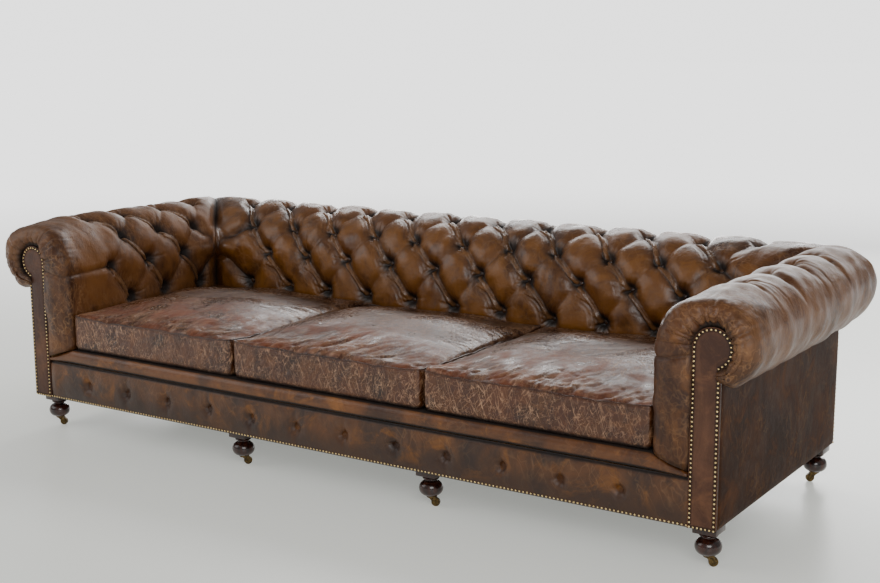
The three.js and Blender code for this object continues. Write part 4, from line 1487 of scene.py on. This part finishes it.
def makeCushion(label, seed):
    look = cushionLook
    node = f"seat_cushion_{label}"
    low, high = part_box(node)
    piece, middle, halfX, halfY = startingCushion(f"seatCushion_{label}", low, high)
    points = puff(piece)
    mesh = piece.data
    mesh.vertices.foreach_set("co", points.ravel())
    subdivide = piece.modifiers.new("finer", "SUBSURF")
    subdivide.levels = subdivide.render_levels = 1
    finer = bpy.data.meshes.new_from_object(piece.evaluated_get(bpy.context.evaluated_depsgraph_get()))
    piece.modifiers.clear()
    piece.data = finer
    bpy.data.meshes.remove(mesh)
    points = readPoints(finer)
    normals = np.zeros(len(points) * 3)
    finer.vertices.foreach_get("normal", normals)
    normals = normals.reshape(-1, 3)
    draw = random.Random(seed)
    x, y, z = points.T
    upper = smoothStep(0.2, 0.8, normals[:, 2])
    side = 1 - smoothStep(0.3, 0.9, np.abs(normals[:, 2]))
    u, v = x - middle[0], y - middle[1]
    top = ripple(x, y, seed, look["dipSize"], look["dipDepth"]) - topFolds(draw, u, v, halfX, halfY)
    ridges = topRidges(draw, u, v, halfX, halfY)
    top += look["ridgeHeight"] * ridges
    around = np.where(np.abs(u) / halfX > np.abs(v) / halfY, v, u)
    move = top * upper - boxingFolds(draw, around, z, halfX) * side
    onSeam = np.zeros(len(points), np.float32)
    finer.attributes["seam"].data.foreach_get("value", onSeam)
    move = move * (1 - onSeam) - look["seamDepth"] * onSeam
    points = points + normals * move[:, None]
    # clear of its neighbours and flat where it rests
    points[:, 0] = np.clip(points[:, 0], low.x - 0.0008, high.x + 0.0008)
    points[:, 1] = np.clip(points[:, 1], low.y - 0.010, high.y - 0.001)
    points[:, 2] = np.maximum(points[:, 2], low.z + 0.0005)
    finer.vertices.foreach_set("co", points.ravel())
    finer.update()
    # painted shade along the seam, in the top's folds, and low on the boxing where the cushion rests
    hollow = 0.55 * onSeam
    hollow = np.maximum(hollow, np.clip(-top * upper * 110, 0, 0.35))
    hollow = np.maximum(hollow, 0.9 * (1 - smoothStep(0.318, 0.334, z)))
    band = v + halfY + 0.05 * np.sin(u * 9 + seed) + top * 9
    worn = 0.22 * side + upper * (0.06 + 0.94 * (1 - smoothStep(0.16, 0.40, band)))
    addField(finer, "hollow", hollow)
    addField(finer, "worn", np.clip(worn, 0, 1))
    addField(finer, "ridge", ridges * upper * 0.8)
    finer.materials.clear()
    finer.materials.append(cushionLeather)
    finer.shade_smooth()
    settle(piece, [node])
    rim = points[onSeam > 0.98]
    rim = rim[np.argsort(np.arctan2(rim[:, 1] - middle[1], rim[:, 0] - middle[0]))]
    welt = makeCord(f"cushionWelt_{label}", rim, look["weltRadius"], weltLeather, closed=True,
                    sides=6)
    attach(welt, "sofa")


for order, label in enumerate(("left", "middle", "right")):
    makeCushion(label, 60 + order)
    print("cushion made:", label)


# turned feet
footLook = {"segments": 48, "blockSide": 0.070, "blockHeight": 0.022, "blockRound": 0.003,
            "bunRadius": 0.038, "bunHeight": 0.050, "soleRadius": 0.0167, "boreRadius": 0.006,
            "boreStart": 0.028, "sharpAngle": 42}


def makeFoot(place):
    node = f"foot_{place}"
    low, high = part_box(node)
    centre = (low + high) / 2
    bottom, top = low.z, high.z
    bunRadius, soleRadius, bore = footLook["bunRadius"], footLook["soleRadius"], footLook["boreRadius"]
    bunTop, blockBottom = bottom + footLook["bunHeight"], top - footLook["blockHeight"]
    bunMiddle = (bottom + bunTop) / 2
    socketTop = bottom + footLook["boreStart"]
    profile = [(soleRadius, bottom)]
    for angle in np.linspace(-78, 74, 22):
        a = math.radians(angle)
        profile.append((bunRadius * math.cos(a) ** 0.62, bunMiddle + (bunTop - bottom) / 2 * math.sin(a)))
    profile += [(0.0195, bunTop + 0.0012), (0.0192, bunTop + 0.003), (0.0225, bunTop + 0.0045),
                (0.0262, bunTop + 0.0062), (0.0272, bunTop + 0.0085), (0.0262, bunTop + 0.0108),
                (0.0240, bunTop + 0.0120), (0.0285, blockBottom - 0.0004), (0.0285, blockBottom + 0.002)]
    ring = profile + [(bore, blockBottom + 0.002), (bore, socketTop), (soleRadius, socketTop - 0.0001)]
    angles = np.linspace(0, math.tau, footLook["segments"], endpoint=False)
    rows = np.array([[(centre.x + r * math.cos(a), centre.y + r * math.sin(a), z) for r, z in ring]
                     for a in angles])
    points, faces = closedTube(rows)
    foot = makePiece("turned_" + place, points, faces, footWood)
    work = bmesh.new()
    work.from_mesh(foot.data)
    block = bmesh.ops.create_cube(work, size=1.0, matrix=Matrix.Translation(
        (centre.x, centre.y, (blockBottom + top) / 2)) @ Matrix.Diagonal(
        (footLook["blockSide"], footLook["blockSide"], top - blockBottom, 1)))
    edges = {edge for vertex in block["verts"] for edge in vertex.link_edges}
    bmesh.ops.bevel(work, geom=list(edges), offset=footLook["blockRound"], segments=3, affect="EDGES",
                    profile=0.5)
    for face in work.faces:
        face.smooth = True
    work.to_mesh(foot.data)
    work.free()
    foot.data.set_sharp_from_angle(angle=math.radians(footLook["sharpAngle"]))
    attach(foot, "sofa")
    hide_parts(node)


places = [f"{row}_{column}" for row in ("front", "rear")
          for column in ("left", "mid_left", "mid_right", "right")]
for place in places:
    makeFoot(place)
print("feet made")


# finishes of the parts that stay as they are
def dress(node, material):
    nodes[node].data.materials.clear()
    nodes[node].data.materials.append(material)


for name in nodes:
    if name.startswith("caster_"):
        dress(name, agedBrass)
    elif name.startswith("spring_unit"):
        dress(name, springSteel)
    elif name == "seat_platform":
        dress(name, platformCanvas)
    elif name == "dust_cover":
        dress(name, dustCloth)
    elif name.startswith(("base_rail", "cross_rail", "arm_frame", "back_frame")):
        dress(name, sawnTimber)


# floor, light and camera
roomGlow = 2.3                       # how bright the room looks, against the light it gives
roomLight = 0.38


def makeStage():
    floorFinish = Finish("paleFloor")
    point = floorFinish.place()
    distance = floorFinish.node("ShaderNodeVectorMath", {"operation": "LENGTH"}, {0: point}, out=1)
    far = floorFinish.ease(distance, 1.6, 9.0)
    colour = floorFinish.mix(far, tone(216, 217, 211), (0, 0, 0, 1))
    glow = floorFinish.mix(far, tone(104, 105, 102), (1, 1, 1, 1))
    floorFinish.surface({"Base Color": colour, "Roughness": 0.3 + far * 0.6, "Specular IOR Level": 0.3,
                         "Emission Color": glow, "Emission Strength": roomGlow})
    mesh = bpy.data.meshes.new("floor")
    reach = 60.0
    mesh.from_pydata([(-reach, -reach, 0), (reach, -reach, 0), (reach, reach, 0), (-reach, reach, 0)],
                     [], [(0, 1, 2, 3)])
    mesh.materials.append(floorFinish.material)
    floor = addObject("floor", mesh)

    world = bpy.data.worlds.new("softRoom")
    bpy.context.scene.world = world
    world.use_nodes = True
    tree = world.node_tree
    background = tree.nodes["Background"]
    background.inputs["Color"].default_value = (1, 1, 1, 1)
    path = tree.nodes.new("ShaderNodeLightPath")
    level = tree.nodes.new("ShaderNodeMapRange")     # the room looks paler than the light it gives
    level.inputs["To Min"].default_value = roomLight
    level.inputs["To Max"].default_value = roomGlow
    tree.links.new(path.outputs["Is Camera Ray"], level.inputs["Value"])
    tree.links.new(level.outputs["Result"], background.inputs["Strength"])


def softLight(name, place, aim, width, height, power):
    lamp = bpy.data.lights.new(name, "AREA")
    lamp.shape = "RECTANGLE"
    lamp.size, lamp.size_y, lamp.energy = width, height, power
    holder = addObject(name, lamp)
    holder.location = place
    holder.visible_camera = False
    holder.rotation_euler = (Vector(aim) - Vector(place)).to_track_quat("-Z", "Y").to_euler()


cameraLook = {"lens": 56.66, "sensor": 36.0, "place": (2.6912, -3.8838, 1.4418),
              "turn": 0.5885, "pitch": 0.1843, "roll": -0.0047}


def makeCamera():
    camera = bpy.data.cameras.new("camera")
    camera.lens = cameraLook["lens"]
    camera.sensor_width = cameraLook["sensor"]
    holder = addObject("camera", camera)
    holder.matrix_world = (Matrix.Translation(cameraLook["place"])
                           @ Matrix.Rotation(cameraLook["turn"], 4, "Z")
                           @ Matrix.Rotation(math.pi / 2 - cameraLook["pitch"], 4, "X")
                           @ Matrix.Rotation(cameraLook["roll"], 4, "Z"))
    bpy.context.scene.camera = holder


makeStage()
softLight("overhead", (-0.4, 2.9, 2.9), (0, 0, 0.4), 5.0, 1.1, 130)
softLight("paleWall", (-1.6, 4.6, 1.5), (0, 0, 0.45), 7.0, 1.1, 190)
softLight("windowSide", (-3.4, -2.8, 2.8), (0, 0, 0.4), 3.2, 2.8, 55)
softLight("fill", (3.2, -3.8, 2.4), (0.3, 0, 0.4), 2.6, 1.8, 98)
makeCamera()
